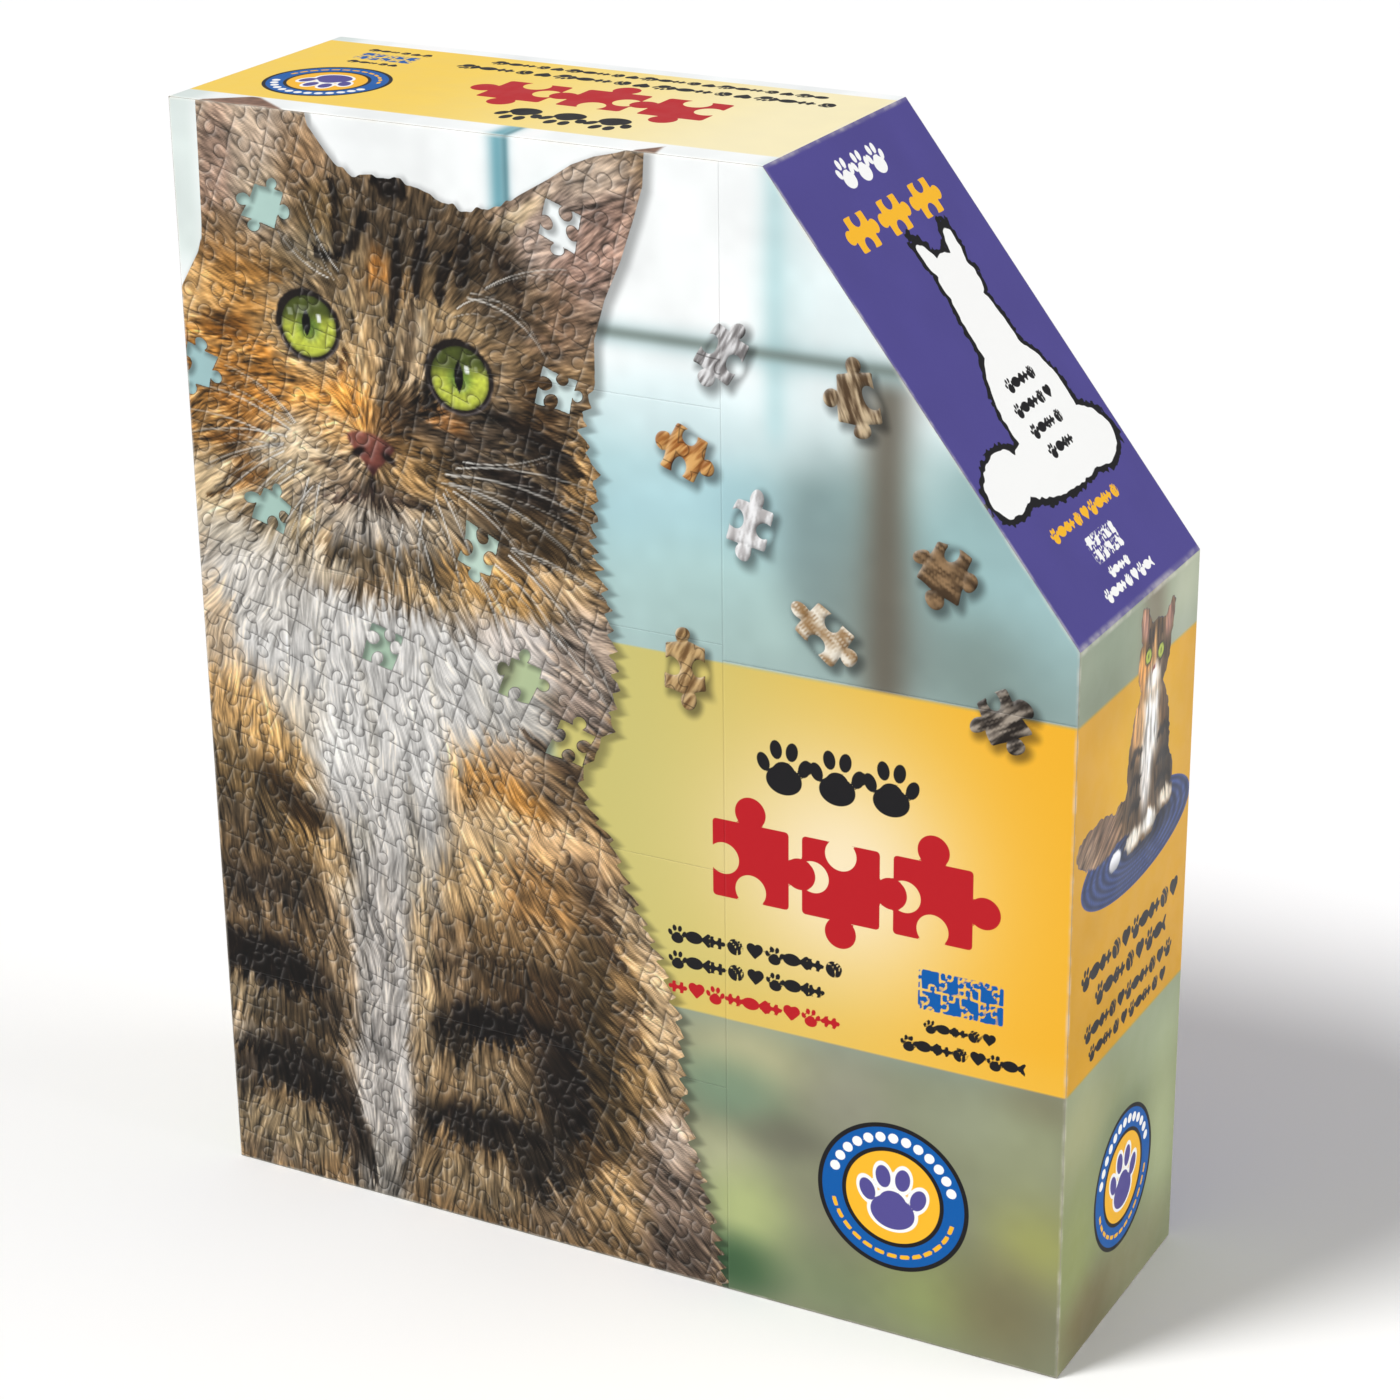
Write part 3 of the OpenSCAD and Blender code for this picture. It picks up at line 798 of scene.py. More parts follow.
# Which way the fur lies: place, then direction
FUR_LIE = [
    (53, 222, 0, 1), (58, 245, 0.05, 1), (60, 268, 0.1, 1), (38, 258, -0.6, 0.8), (84, 258, 0.7, 0.75),
    (20, 250, -0.9, 0.5), (22, 236, -1, 0.12), (12, 222, -1, -0.25), (14, 205, -0.95, -0.5),
    (20, 188, -0.7, -0.8), (34, 228, -0.9, -0.25), (38, 209, -1, -0.12), (34, 200, -0.8, -0.55),
    (68, 209, 1, -0.15), (72, 198, 0.8, -0.6), (90, 216, 1, 0.05), (98, 238, 0.95, 0.35),
    (104, 222, 1, -0.1), (110, 208, 0.95, -0.35), (104, 192, 0.75, -0.7), (53, 192, 0, -1),
    (24, 280, -0.95, 0.4), (12, 268, -0.8, 0.55), (40, 275, -0.5, 0.85), (112, 268, 0.9, 0.42),
    (122, 282, 0.85, 0.5), (98, 262, 0.85, 0.6), (110, 250, 0.9, 0.2),
    (6, 175, -0.75, -0.65), (28, 170, -0.25, -1), (52, 165, 0.02, -1), (78, 172, 0.35, -0.95),
    (98, 172, 0.7, -0.7), (114, 168, 0.95, -0.3), (112, 152, 0.95, -0.35), (8, 148, -0.4, -0.9),
    (26, 140, 0.1, -1), (52, 135, 0.15, -1), (76, 140, 0.3, -0.95), (98, 138, 0.8, -0.7),
    (10, 118, 0.25, -0.95), (30, 112, 0.45, -0.9), (55, 105, 0.05, -1), (82, 110, 0.4, -0.9),
    (104, 112, 0.75, -0.65), (118, 100, 0.85, -0.55), (10, 82, 0.05, -1), (28, 80, 0.25, -0.95),
    (50, 70, 0, -1), (78, 78, 0.05, -1), (98, 82, 0.5, -0.85), (120, 76, 0.8, -0.6),
    (6, 48, -0.25, -0.95), (24, 48, 0.3, -0.95), (48, 40, 0.05, -1), (68, 48, -0.25, -0.95),
    (86, 46, 0.3, -0.95), (108, 50, 0.65, -0.8), (128, 50, 0.85, -0.55), (8, 14, -0.3, -0.95),
    (24, 14, 0.35, -0.95), (47, 12, -0.05, -1), (66, 14, -0.35, -0.95), (88, 14, 0.25, -0.95),
    (108, 18, 0.7, -0.7), (136, 18, 0.8, -0.6)]

# Coat colours
BROWN = (112, 92, 68)
BLACK = (15, 11, 9)
SABLE = (62, 50, 37)
GINGER = (174, 122, 64)
WHITE = (208, 206, 203)
ROSE = (150, 112, 98)

# The coat from back to front: centre across and up, radii, tilt, softness, strength; colour
COAT = [
    ((60, 235, 70, 62, 0, 0.3, 1), BROWN), ((70, 90, 120, 100, 0, 0.2, 1), (98, 80, 58)),
    # ears
    ((22, 282, 22, 22, 0, 0.5, 1), (178, 160, 142)), ((12, 274, 5, 20, -6, 0.5, 0.35), ROSE),
    ((30, 270, 9, 8, 0, 0.6, 0.7), (168, 152, 128)), ((38, 278, 7, 12, 0, 0.6, 0.8), (142, 114, 84)),
    ((112, 268, 24, 20, 50, 0.5, 1), (160, 142, 130)), ((118, 268, 8, 16, -35, 0.5, 0.4), ROSE),
    ((106, 250, 10, 9, 0, 0.6, 0.9), (112, 90, 72)), ((118, 285, 9, 5, 20, 0.6, 0.8), (200, 182, 164)),
    ((96, 272, 12, 2.2, 38, 0.6, 0.9), (196, 176, 146)), ((13, 260, 7, 6, 20, 0.6, 0.8), (126, 102, 74)),
    # forehead
    ((64, 266, 24, 13, 0, 0.5, 1), (74, 62, 48)), ((86, 262, 11, 9, -20, 0.6, 0.9), (66, 54, 41)),
    ((43, 265, 7, 10, 0, 0.6, 0.85), (114, 93, 62)), ((60, 253, 20, 6, 0, 0.6, 0.8), (112, 93, 68)),
    ((36, 256, 13, 6, 20, 0.6, 0.9), (120, 108, 88)), ((94, 252, 12, 7, 20, 0.6, 0.8), (88, 74, 58)),
    ((58.5, 252, 3.4, 8, 4, 0.6, 0.95), (176, 116, 54)), ((66, 251, 3, 6, 0, 0.6, 0.7), (150, 120, 84)),
    ((51.5, 261, 3, 5, 0, 0.6, 0.9), (176, 152, 118)),
    # left cheek
    ((18, 230, 26, 24, 0, 0.4, 1), (172, 120, 58)), ((5, 243, 9, 8, 20, 0.5, 0.95), (226, 186, 132)),
    ((17, 247, 12, 4.5, 14, 0.6, 0.8), (182, 138, 82)), ((11, 236, 7, 4.5, 10, 0.6, 0.85), (122, 80, 34)),
    ((21, 238, 9, 4, -8, 0.6, 0.85), (202, 158, 102)), ((12, 214, 11, 15, 0, 0.5, 0.9), (118, 82, 42)),
    ((5, 208, 6, 9, 0, 0.6, 0.85), (176, 134, 82)), ((25, 224, 11, 9, 0, 0.6, 0.8), (160, 112, 58)),
    ((39, 223, 11, 9, 0, 0.6, 0.9), (194, 144, 84)), ((20, 206, 8, 5, 0, 0.6, 0.8), (102, 84, 62)),
    ((3, 192, 13, 10, 20, 0.5, 0.95), (230, 206, 168)), ((17, 201, 6, 4.5, 0, 0.6, 0.9), (96, 68, 38)),
    ((15, 237, 6, 3.4, 0, 0.6, 0.85), (104, 68, 30)), ((22, 243.5, 6, 3, 10, 0.6, 0.8), (130, 96, 54)),
    # nose bridge
    ((53, 232, 5, 15, -4, 0.5, 0.95), (210, 174, 126)), ((47, 220, 9, 8, 0, 0.6, 0.9), (184, 130, 68)),
    ((61, 238, 6, 15, 8, 0.5, 0.95), (126, 108, 84)), ((68.8, 237, 3.8, 10, 6, 0.6, 0.95), (196, 178, 152)),
    ((62, 216, 7, 8, 0, 0.6, 0.95), (74, 54, 34)), ((69, 221, 7, 6, 0, 0.6, 0.9), (52, 40, 29)),
    ((61, 245, 4, 5, 0, 0.6, 0.7), (170, 146, 112)),
    # round the eyes
    ((37.5, 238, 12.5, 11.5, 0, 0.35, 0.9), (180, 154, 116)), ((80, 233, 12.5, 11, 0, 0.35, 0.85), (150, 126, 94)),
    ((78, 246, 10, 3.6, -10, 0.6, 0.8), (158, 136, 104)), ((95, 235, 8, 8, 0, 0.6, 0.85), (116, 97, 74)),
    ((34, 248, 11, 3, 8, 0.6, 0.8), (122, 106, 84)), ((50, 245, 4, 6, 0, 0.6, 0.7), (146, 128, 100)),
    # right cheek
    ((94, 210, 26, 17, -8, 0.45, 1), (64, 54, 44)), ((102, 228, 6, 10, 0, 0.6, 0.9), (62, 46, 30)),
    ((100, 207, 10, 8, -12, 0.6, 0.95), (24, 19, 16)), ((113, 211, 5, 11, 0, 0.5, 0.95), (146, 116, 78)),
    ((110, 188, 10, 7, 0, 0.6, 0.95), (136, 113, 82)), ((99, 194, 11, 7, -20, 0.6, 0.95), (50, 39, 26)),
    ((82, 205, 9, 4, -6, 0.6, 0.85), (128, 112, 90)), ((76, 220.5, 6, 2.6, -24, 0.6, 0.8), (138, 96, 56)),
    # muzzle and chin
    ((33, 208, 14, 8.5, 10, 0.5, 1), (224, 202, 170)), ((29, 200, 9, 4, 20, 0.6, 0.8), (172, 154, 124)),
    ((44, 213, 8, 5, -20, 0.6, 0.85), (200, 160, 110)), ((46, 204, 6, 4, 0, 0.6, 0.9), (174, 152, 126)),
    ((70, 203, 13, 7, -10, 0.5, 1), (134, 108, 74)), ((68, 211, 7, 4, 0, 0.6, 0.8), (108, 84, 54)),
    ((53, 198, 13, 3.4, 0, 0.6, 0.9), (84, 71, 60)), ((54, 189, 18, 6.5, 0, 0.5, 1), (150, 142, 132)),
    ((37, 194, 9, 6, 0, 0.6, 0.9), (164, 150, 132)), ((75, 192, 9, 7, 0, 0.6, 0.85), (136, 122, 102)),
    ((28, 187, 9, 7, 0, 0.6, 0.8), (168, 152, 124)),
    # throat and neck
    ((56, 180, 21, 4.6, -3, 0.6, 1), (86, 74, 58)), ((74, 174, 15, 4, -8, 0.6, 0.9), (162, 138, 104)),
    ((90, 179, 18, 6, -14, 0.5, 1), (150, 119, 76)), ((94, 189, 8, 4, -20, 0.6, 0.8), (92, 74, 52)),
    ((109, 178, 9, 6, -30, 0.6, 0.9), (156, 133, 104)), ((15, 180, 18, 6, -10, 0.6, 0.9), (204, 196, 182)),
    ((38, 177, 9, 3.6, 0, 0.6, 0.9), (206, 192, 170)),
    # white bib, wide at the shoulders and narrow down the front
    ((48, 156, 48, 15, 0, 0.3, 1), WHITE), ((15, 168, 22, 10, 0, 0.5, 0.95), (212, 208, 202)),
    ((100, 164, 18, 8, -16, 0.4, 0.95), (214, 206, 200)), ((54, 139, 36, 19, 0, 0.3, 1), WHITE),
    ((92, 149, 15, 8, -30, 0.5, 0.9), (194, 192, 188)), ((114, 164, 11, 14, 0, 0.4, 1), (122, 110, 100)),
    ((111, 150, 9, 6, 0, 0.5, 0.85), (120, 108, 100)), ((2, 157, 7, 12, 0, 0.5, 0.9), (202, 180, 152)),
    ((4, 144, 9, 8, 0, 0.6, 0.85), (218, 194, 164)), ((54, 122, 27, 16, 0, 0.4, 1), (212, 210, 207)),
    ((25, 134, 9, 10, -20, 0.6, 0.9), (222, 212, 196)), ((86, 134, 13, 5.5, -16, 0.6, 0.95), (216, 204, 188)),
    ((76, 118, 6.5, 15, 0, 0.6, 0.9), (206, 192, 172)),
    ((55, 104, 16, 22, 3, 0.4, 1), (190, 187, 183)), ((50, 74, 10.5, 28, 1, 0.35, 1), (172, 167, 162)),
    ((48, 34, 10, 28, 2, 0.35, 1), (168, 163, 158)), ((46, 5, 8, 13, 6, 0.5, 1), (112, 107, 100)),
    ((62, 68, 4, 34, 0, 0.6, 0.8), (150, 132, 106)), ((36, 66, 4.5, 34, 0, 0.6, 0.9), (118, 101, 80)), ((39, 90, 4.5, 7, 0, 0.6, 0.9), (204, 192, 174)),
    ((45, 105, 3.6, 6, 0, 0.6, 0.85), (126, 122, 114)), ((68, 87, 7, 4, 0, 0.6, 0.8), (172, 158, 140)),
    # left shoulder and left foreleg
    ((8, 133, 17, 9, -14, 0.5, 1), (168, 137, 96)), ((20, 124, 14, 7, -30, 0.5, 0.95), (170, 138, 94)),
    ((4, 122, 8, 6, 0, 0.6, 0.9), (140, 119, 88)), ((12, 111, 26, 9, -28, 0.4, 1), (94, 77, 53)),
    ((26, 110, 14, 4.6, -42, 0.6, 0.95), (46, 34, 21)), ((6, 104, 11, 5, 0, 0.6, 0.8), (80, 68, 53)),
    ((27, 98, 8, 6, -20, 0.6, 0.85), (124, 99, 64)), ((36, 97, 5, 9, 0, 0.6, 0.85), (138, 117, 88)),
    ((12, 92, 20, 8, -8, 0.5, 1), (78, 64, 47)), ((12, 83.5, 20, 4.5, -2, 0.5, 1), (52, 43, 34)),
    ((11, 76, 18, 3.4, -4, 0.6, 0.95), (84, 70, 54)), ((13, 62, 19, 8, -8, 0.4, 1), BLACK),
    ((6, 50, 14, 5.5, -8, 0.5, 1), (108, 95, 76)), ((21, 46, 13, 6, -10, 0.5, 0.95), (62, 52, 39)),
    ((6, 39, 8, 4, -6, 0.5, 0.9), (134, 122, 106)), ((21, 32, 17, 8, -8, 0.45, 1), (20, 16, 13)),
    ((33, 50, 4, 8, 0, 0.6, 0.9), (34, 28, 22)), ((3, 21, 5, 4, 0, 0.6, 0.85), (30, 27, 24)),
    ((5, 28, 9, 3.4, 0, 0.6, 0.8), (40, 35, 31)), ((14, 13, 22, 8, 0, 0.5, 1), (114, 100, 79)),
    ((36, 19, 5, 13, 14, 0.5, 0.95), (42, 34, 28)), ((12, 3, 11, 4, 0, 0.6, 0.8), (90, 79, 66)),
    # right shoulder, foreleg and flank
    ((86, 123, 14, 11, -30, 0.45, 1), (152, 116, 72)), ((96, 131, 13, 5, -28, 0.5, 0.9), (120, 99, 76)),
    ((84, 112, 12, 10, -10, 0.5, 1), (192, 166, 130)), ((105, 110, 14, 10, 0, 0.5, 1), (184, 154, 118)),
    ((94, 124, 8, 4, -20, 0.6, 0.9), (132, 96, 52)), ((80, 97, 13, 11, 0, 0.5, 1), (168, 142, 106)),
    ((98, 97, 13, 12, 0, 0.5, 1), (132, 102, 67)), ((117, 94, 7, 18, 20, 0.5, 1), (90, 73, 56)),
    ((126, 94, 6, 13, 22, 0.5, 0.9), (152, 134, 110)), ((84, 84, 20, 7, 0, 0.5, 1), (108, 87, 61)),
    ((86, 73, 22, 7, 0, 0.5, 1), (70, 56, 40)), ((70, 74, 7, 12, 0, 0.6, 0.7), (112, 95, 75)),
    ((100, 66, 14, 10, 0, 0.5, 1), (60, 46, 32)), ((83, 59.5, 16, 5.6, 6, 0.4, 1), (16, 12, 11)),
    ((80, 43, 14, 8, 0, 0.45, 1), (106, 90, 69)), ((106, 46, 11, 17, 6, 0.4, 1), (24, 19, 16)),
    ((69, 52, 6, 6, 0, 0.6, 0.9), (24, 19, 14)),
    ((80, 28, 21, 6.2, -3, 0.4, 1), (26, 21, 17)), ((99, 25, 12, 10, -16, 0.5, 1), (32, 27, 22)),
    ((76, 11, 18, 7.5, 0, 0.5, 1), (106, 91, 70)), ((99, 7, 8, 7, 0, 0.5, 0.9), (94, 80, 64)),
    ((93, 16, 6, 5, 0, 0.6, 0.9), (28, 23, 19)), ((45, 9, 5, 6, 0, 0.6, 0.8), (146, 141, 134)),
    ((116, 60, 7, 36, 6, 0.5, 1), (62, 50, 34)), ((126, 58, 6, 34, 6, 0.5, 0.95), (122, 99, 68)),
    ((133, 72, 6, 22, 4, 0.5, 0.95), (178, 154, 122)), ((120, 18, 13, 10, -26, 0.5, 1), (134, 111, 81)),
    ((123, 69, 3.5, 8, 0, 0.6, 0.8), (70, 56, 42)), ((111, 28, 6, 5, 0, 0.6, 0.9), (58, 44, 28)),
    ((136, 22, 10, 22, 12, 0.5, 1), (100, 87, 77)), ((138, 6, 12, 9, 0, 0.6, 1), (74, 63, 55)),
    ((135, 39, 6, 8, 10, 0.6, 0.9), (188, 170, 154))]

# Dark and light markings: points along the stroke, half-width, softness, colour, strength
MARKINGS = [
    (bend((46, 277), (47, 257), 0.6), 1.5, 0.5, BLACK, 0.8), (bend((55.5, 270), (47.6, 257), 0.8), 1.5, 0.5, BLACK, 0.9),
    (bend((58, 277), (66, 275), 1.0), 3.4, 0.5, BLACK, 0.9), (bend((63.5, 264), (61, 243), 0.8), 1.6, 0.5, BLACK, 0.9),
    (bend((60, 240), (57, 222), 0.8), 1.5, 0.6, (70, 60, 48), 0.85), (bend((72, 267), (68.6, 250), -0.8), 1.6, 0.5, BLACK, 0.9),
    (bend((78.7, 262), (75, 249), -0.8), 1.6, 0.5, BLACK, 0.9), (bend((84, 268), (82, 254), -1.2), 1.4, 0.5, BLACK, 0.8),
    (bend((40, 258), (47, 256), 0.4), 1.4, 0.5, BLACK, 0.8), (bend((52, 252), (50, 238), 0.6), 1.0, 0.5, SABLE, 0.7),
    (bend((67, 248), (63, 228), 1.0), 1.6, 0.5, SABLE, 0.75), (bend((88, 266), (98, 250), 2.0), 1.5, 0.6, (40, 31, 24), 0.8),
    (bend((50, 250), (53, 226), 0.6), 0.9, 0.6, (214, 186, 144), 0.7), (bend((70.8, 247), (70, 238), 0.4), 1.0, 0.6, (206, 186, 154), 0.7),
    (bend((92, 250), (108, 244), 1.5), 1.4, 0.6, SABLE, 0.7), (bend((28, 262), (44, 268), 1.5), 1.4, 0.6, (92, 76, 54), 0.7),
    (bend((48, 234), (45, 228), 0.5), 1.0, 0.5, (110, 76, 46), 0.8), (bend((71, 231), (72, 222), -0.6), 1.6, 0.5, BLACK, 0.9),
    (bend((30, 250), (10, 251), -1.5), 1.6, 0.6, (112, 82, 46), 0.8), (bend((88, 224), (112, 212), 2.0), 2.4, 0.6, BLACK, 0.8),
    (bend((84, 214), (104, 208), 1.5), 1.0, 0.6, (108, 92, 72), 0.7), (bend((76, 211), (100, 205), 1.5), 1.3, 0.5, BLACK, 0.7),
    (bend((86, 200), (110, 194), 1.5), 0.8, 0.6, (126, 104, 74), 0.6), (bend((90, 218), (108, 206), 1.0), 0.7, 0.6, (120, 102, 78), 0.6),
    (bend((28, 222), (6, 218), 2.0), 1.2, 0.6, (190, 132, 68), 0.6), (bend((26, 213), (4, 206), 1.2), 1.8, 0.6, (92, 60, 28), 0.7),
    (bend((22, 228), (2, 232), -1.2), 1.2, 0.6, (212, 164, 104), 0.6), (bend((24, 201), (6, 192), 1.0), 1.6, 0.6, (112, 78, 42), 0.7),
    (bend((54, 204), (53, 197.5), 0.1), 0.7, 0.6, (40, 30, 28), 0.9), (bend((53, 198), (40, 197), 1.2), 0.9, 0.7, (60, 46, 40), 0.8),
    (bend((54, 198), (68, 199), -1.4), 0.9, 0.7, (46, 36, 30), 0.85), (bend((46, 206), (36, 205), 0.3), 0.7, 0.7, (150, 116, 84), 0.5),
    (bend((96, 142), (110, 132), 1.0), 2.0, 0.6, (66, 52, 40), 0.8), (bend((70, 132), (66, 96), 1.2), 1.4, 0.7, (166, 160, 152), 0.6),
    (bend((46, 156), (50, 120), 1.8), 1.6, 0.7, (176, 172, 164), 0.6), (bend((34, 162), (36, 136), 1.0), 1.4, 0.7, (188, 184, 176), 0.6),
    (bend((80, 158), (86, 140), 1.2), 1.4, 0.7, (166, 162, 154), 0.6), (bend((60, 124), (60, 90), 1.0), 2.0, 0.7, (150, 144, 134), 0.6),
    (bend((46, 100), (44, 50), -1.0), 1.2, 0.7, (146, 141, 134), 0.6), (bend((51, 96), (52, 66), 0.6), 1.2, 0.7, (128, 122, 114), 0.5),
    (bend((55, 70), (53, 14), 1.0), 1.4, 0.7, (192, 188, 184), 0.7), (bend((63, 96), (63, 60), 0.5), 1.2, 0.6, (178, 156, 122), 0.6),
    (bend((88, 116), (84, 90), 1.0), 1.4, 0.6, (206, 176, 132), 0.6), (bend((66, 160), (70, 140), 0.8), 1.2, 0.7, (182, 178, 168), 0.5),
    (bend((0, 68), (32, 56), 1.5), 2.2, 0.6, BLACK, 0.8), (bend((65, 54), (98, 62), 2.0), 2.2, 0.6, BLACK, 0.8),
    (bend((62, 29), (100, 27), 2.0), 2.0, 0.6, BLACK, 0.8), (bend((2, 36), (33, 24), 1.6), 2.4, 0.6, BLACK, 0.8),
    (bend((100, 62), (108, 36), 3.0), 2.6, 0.6, BLACK, 0.8), (bend((37, 30), (44, 2), 1.0), 1.6, 0.6, (34, 28, 23), 0.8),
    (bend((60, 26), (53, 2), -1.0), 1.4, 0.6, (70, 60, 48), 0.7), (bend((106, 112), (120, 84), 1.5), 1.8, 0.6, (76, 60, 44), 0.7),
    (bend((66, 74), (92, 80), 1.0), 1.2, 0.6, (52, 41, 30), 0.6), (bend((10, 86), (28, 90), 1.0), 1.4, 0.6, (42, 34, 26), 0.7)]

# Whiskers and brow hairs: root, tip, sag, width
WHISKERS = [
    ((30, 212), (2, 220), -2.0, 0.34), ((29, 210), (0, 207), -1.5, 0.34), ((28, 208), (4, 199), -1.0, 0.36),
    ((28, 206), (8, 191), -1.0, 0.34), ((30, 204), (13, 187), -0.8, 0.3), ((32, 214), (12, 226), -2.0, 0.28),
    ((33, 202), (18, 189), -0.8, 0.28), ((26, 209), (0, 213), -1.2, 0.28), ((35, 200), (30, 180), -0.8, 0.3),
    ((38, 199), (35, 178), -0.6, 0.28), ((75, 207), (118, 200), 3.0, 0.36), ((76, 205), (112, 190), 3.0, 0.36),
    ((77, 203), (98, 186), 2.0, 0.34), ((78, 209), (116, 209), 2.0, 0.28), ((80, 211), (104, 216), -1.5, 0.24),
    ((74, 202), (84, 178), 1.0, 0.32), ((72, 200), (78, 176), 1.0, 0.28), ((93, 191), (122, 180), 2.0, 0.36),
    ((92, 189), (120, 157), 3.0, 0.38), ((88, 186), (106, 168), 2.0, 0.34), ((84, 182), (96, 162), 1.0, 0.3),
    ((68, 196), (66, 174), -0.8, 0.28), ((62, 192), (58, 172), -0.6, 0.26), ((66, 194), (72, 170), 0.6, 0.26),
    ((83, 252), (104, 240), 3.2, 0.32), ((80, 249), (92, 252), 1.5, 0.26), ((88, 255), (110, 262), 1.5, 0.24),
    ((44, 252), (30, 262), 1.5, 0.24), ((47, 254), (38, 270), 1.2, 0.24), ((84, 181), (90, 156), 1.6, 0.28),
    ((102, 172), (120, 152), 1.0, 0.3), ((36, 198), (22, 178), -1.0, 0.28)]

# Where a piece of the printed puzzle is missing
GAPS = [(21, 267), (3, 224), (21, 190), (87, 191), (55, 154), (92, 156), (106, 277), (110, 236), (109, 138)]


def lie(x, z):
    """Direction of the fur: the set directions averaged with a bell-shaped weight 13 mm wide."""
    dx, dz = np.zeros_like(x), np.zeros_like(x)
    for px, pz, vx, vz in FUR_LIE:
        w = np.exp(-((x - px) ** 2 + (z - pz) ** 2) / (2 * 11.0**2))
        dx += w * vx
        dz += w * vz
    dz += 1e-6
    length = np.hypot(dx, dz)
    dx, dz = dx / length, dz / length
    sway = 0.30 * noise(x, z, 9, 61) + 0.22 * noise(x, z, 3.5, 62)
    c, s = np.cos(sway), np.sin(sway)
    return dx * c - dz * s, dz * c + dx * s


def window_scene(x, z):
    """Out-of-focus room behind the cat: white panes, teal bars, a brown post and a green garden below."""
    colour = np.empty(x.shape + (3,))
    colour[:] = np.array((160, 184, 182)) / 255
    pane = smooth(226, 238, z)[..., None]
    colour += pane * (np.array((250, 253, 253)) / 255 - colour)
    for spot, tint in [
            ((140, 205, 30, 26, 0, 0.6, 0.9), (172, 212, 220)), ((128, 222, 24, 14, 0, 0.7, 0.6), (190, 222, 226)),
            ((150, 186, 34, 16, 0, 0.7, 0.6), (178, 204, 196)), ((176, 206, 10, 26, 0, 0.7, 0.8), (128, 150, 150)),
            ((166, 262, 6, 34, 0, 0.8, 0.55), (198, 226, 228)), ((180, 262, 16, 18, 0, 0.7, 0.5), (216, 238, 240)),
            ((210, 206, 26, 24, 0, 0.7, 0.8), (152, 188, 190)), ((222, 180, 24, 14, 0, 0.7, 0.8), (124, 142, 136)),
            ((186, 236, 8, 8, 0, 0.8, 0.6), (222, 240, 240)), ((200, 232, 9, 14, 0, 0.8, 0.5), (210, 234, 234)),
            ((148, 232, 42, 10, 0, 0.7, 0.7), (226, 242, 244)), ((236, 200, 14, 24, 0, 0.7, 0.5), (160, 196, 200)),
            ((190, 190, 14, 18, 0, 0.8, 0.6), (120, 130, 124)), ((24, 266, 13, 13, 0, 0.4, 1), (176, 206, 198)),
            ((20, 190, 13, 13, 0, 0.4, 1), (166, 196, 186)), ((86, 190, 13, 12, 0, 0.4, 1), (188, 212, 198)),
            ((55, 154, 12, 12, 0, 0.4, 1), (168, 194, 172)), ((92, 156, 12, 12, 0, 0.4, 1), (178, 194, 152)),
            ((88, 160, 4, 5, 0, 0.8, 0.8), (110, 110, 84)), ((2, 222, 9, 13, 0, 0.5, 1), (158, 192, 194)),
            ((110, 236, 8, 9, 0, 0.5, 0.9), (206, 224, 222)), ((106, 276, 8, 10, 0, 0.5, 0.9), (244, 250, 250))]:
        blot(colour, x, z, spot, tint)
    for centre, half, low, tint, strength in [
            (92.5, 2.6, 262, (96, 158, 172), 0.85), (94.5, 0.9, 262, (60, 112, 124), 0.6), (192, 6.5, 168, (104, 98, 86), 0.9),
            (164, 3.0, 228, (170, 212, 216), 0.5)]:
        top = 300 if low != 168 else 250
        w = (np.exp(-(((x - centre) / half) ** 2)) * smooth(low - 6, low + 6, z) * (1 - smooth(top - 8, top + 4, z)) * strength)[..., None]
        colour += w * (np.array(tint) / 255 - colour)
    w = (np.exp(-(((z - 248.5) / 3.6) ** 2)) * smooth(108, 120, x) * 0.55)[..., None]
    colour += w * (np.array((150, 186, 190)) / 255 - colour)
    w = (np.exp(-(((z - 248.8) / 1.5) ** 2)) * smooth(108, 120, x) * 0.75)[..., None]
    colour += w * (np.array((112, 124, 118)) / 255 - colour)
    left = (1 - smooth(4, 12, x)) * smooth(244, 256, z)
    colour += (left * 0.8)[..., None] * (np.array((214, 226, 222)) / 255 - colour)
    lawn = (1 - smooth(66, 96, z))[..., None]
    colour += lawn * (np.array((134, 138, 112)) / 255 - colour)
    for spot, tint in [
            ((156, 68, 16, 9, 0, 0.8, 0.8), (196, 194, 152)), ((150, 58, 14, 8, 0, 0.8, 0.7), (112, 140, 116)),
            ((146, 38, 12, 8, 0, 0.8, 0.8), (184, 186, 148)), ((156, 24, 12, 11, 0, 0.8, 0.85), (178, 190, 128)),
            ((152, 8, 12, 8, 0, 0.8, 0.9), (58, 92, 60)), ((184, 62, 12, 14, 0, 0.9, 0.6), (158, 156, 140)),
            ((206, 16, 16, 12, 0, 0.9, 0.7), (150, 164, 96)), ((234, 36, 12, 12, 0, 0.9, 0.8), (166, 168, 96)),
            ((230, 60, 14, 14, 0, 0.9, 0.6), (160, 166, 128)), ((168, 48, 10, 5, 0, 0.9, 0.7), (106, 106, 92)),
            ((176, 12, 14, 10, 0, 0.9, 0.5), (128, 148, 104)), ((225, 15, 13, 13, 0, 0.9, 0.85), (118, 112, 82)),
            ((188, 30, 20, 14, 0, 0.9, 0.4), (132, 128, 104)), ((212, 66, 14, 8, 0, 0.9, 0.6), (158, 164, 138)),
            ((236, 76, 12, 6, 0, 0.9, 0.5), (124, 116, 88))]:
        blot(colour, x, z, spot, tint)
    colour *= (1 + 0.035 * noise(x, z, 14, 71) + 0.012 * noise(x, z, 4, 72))[..., None]
    return colour


# Yellow title band: its top and bottom edges, and where its cream glow sits
BAND_LOW, BAND_HIGH = 77.5, 171.5


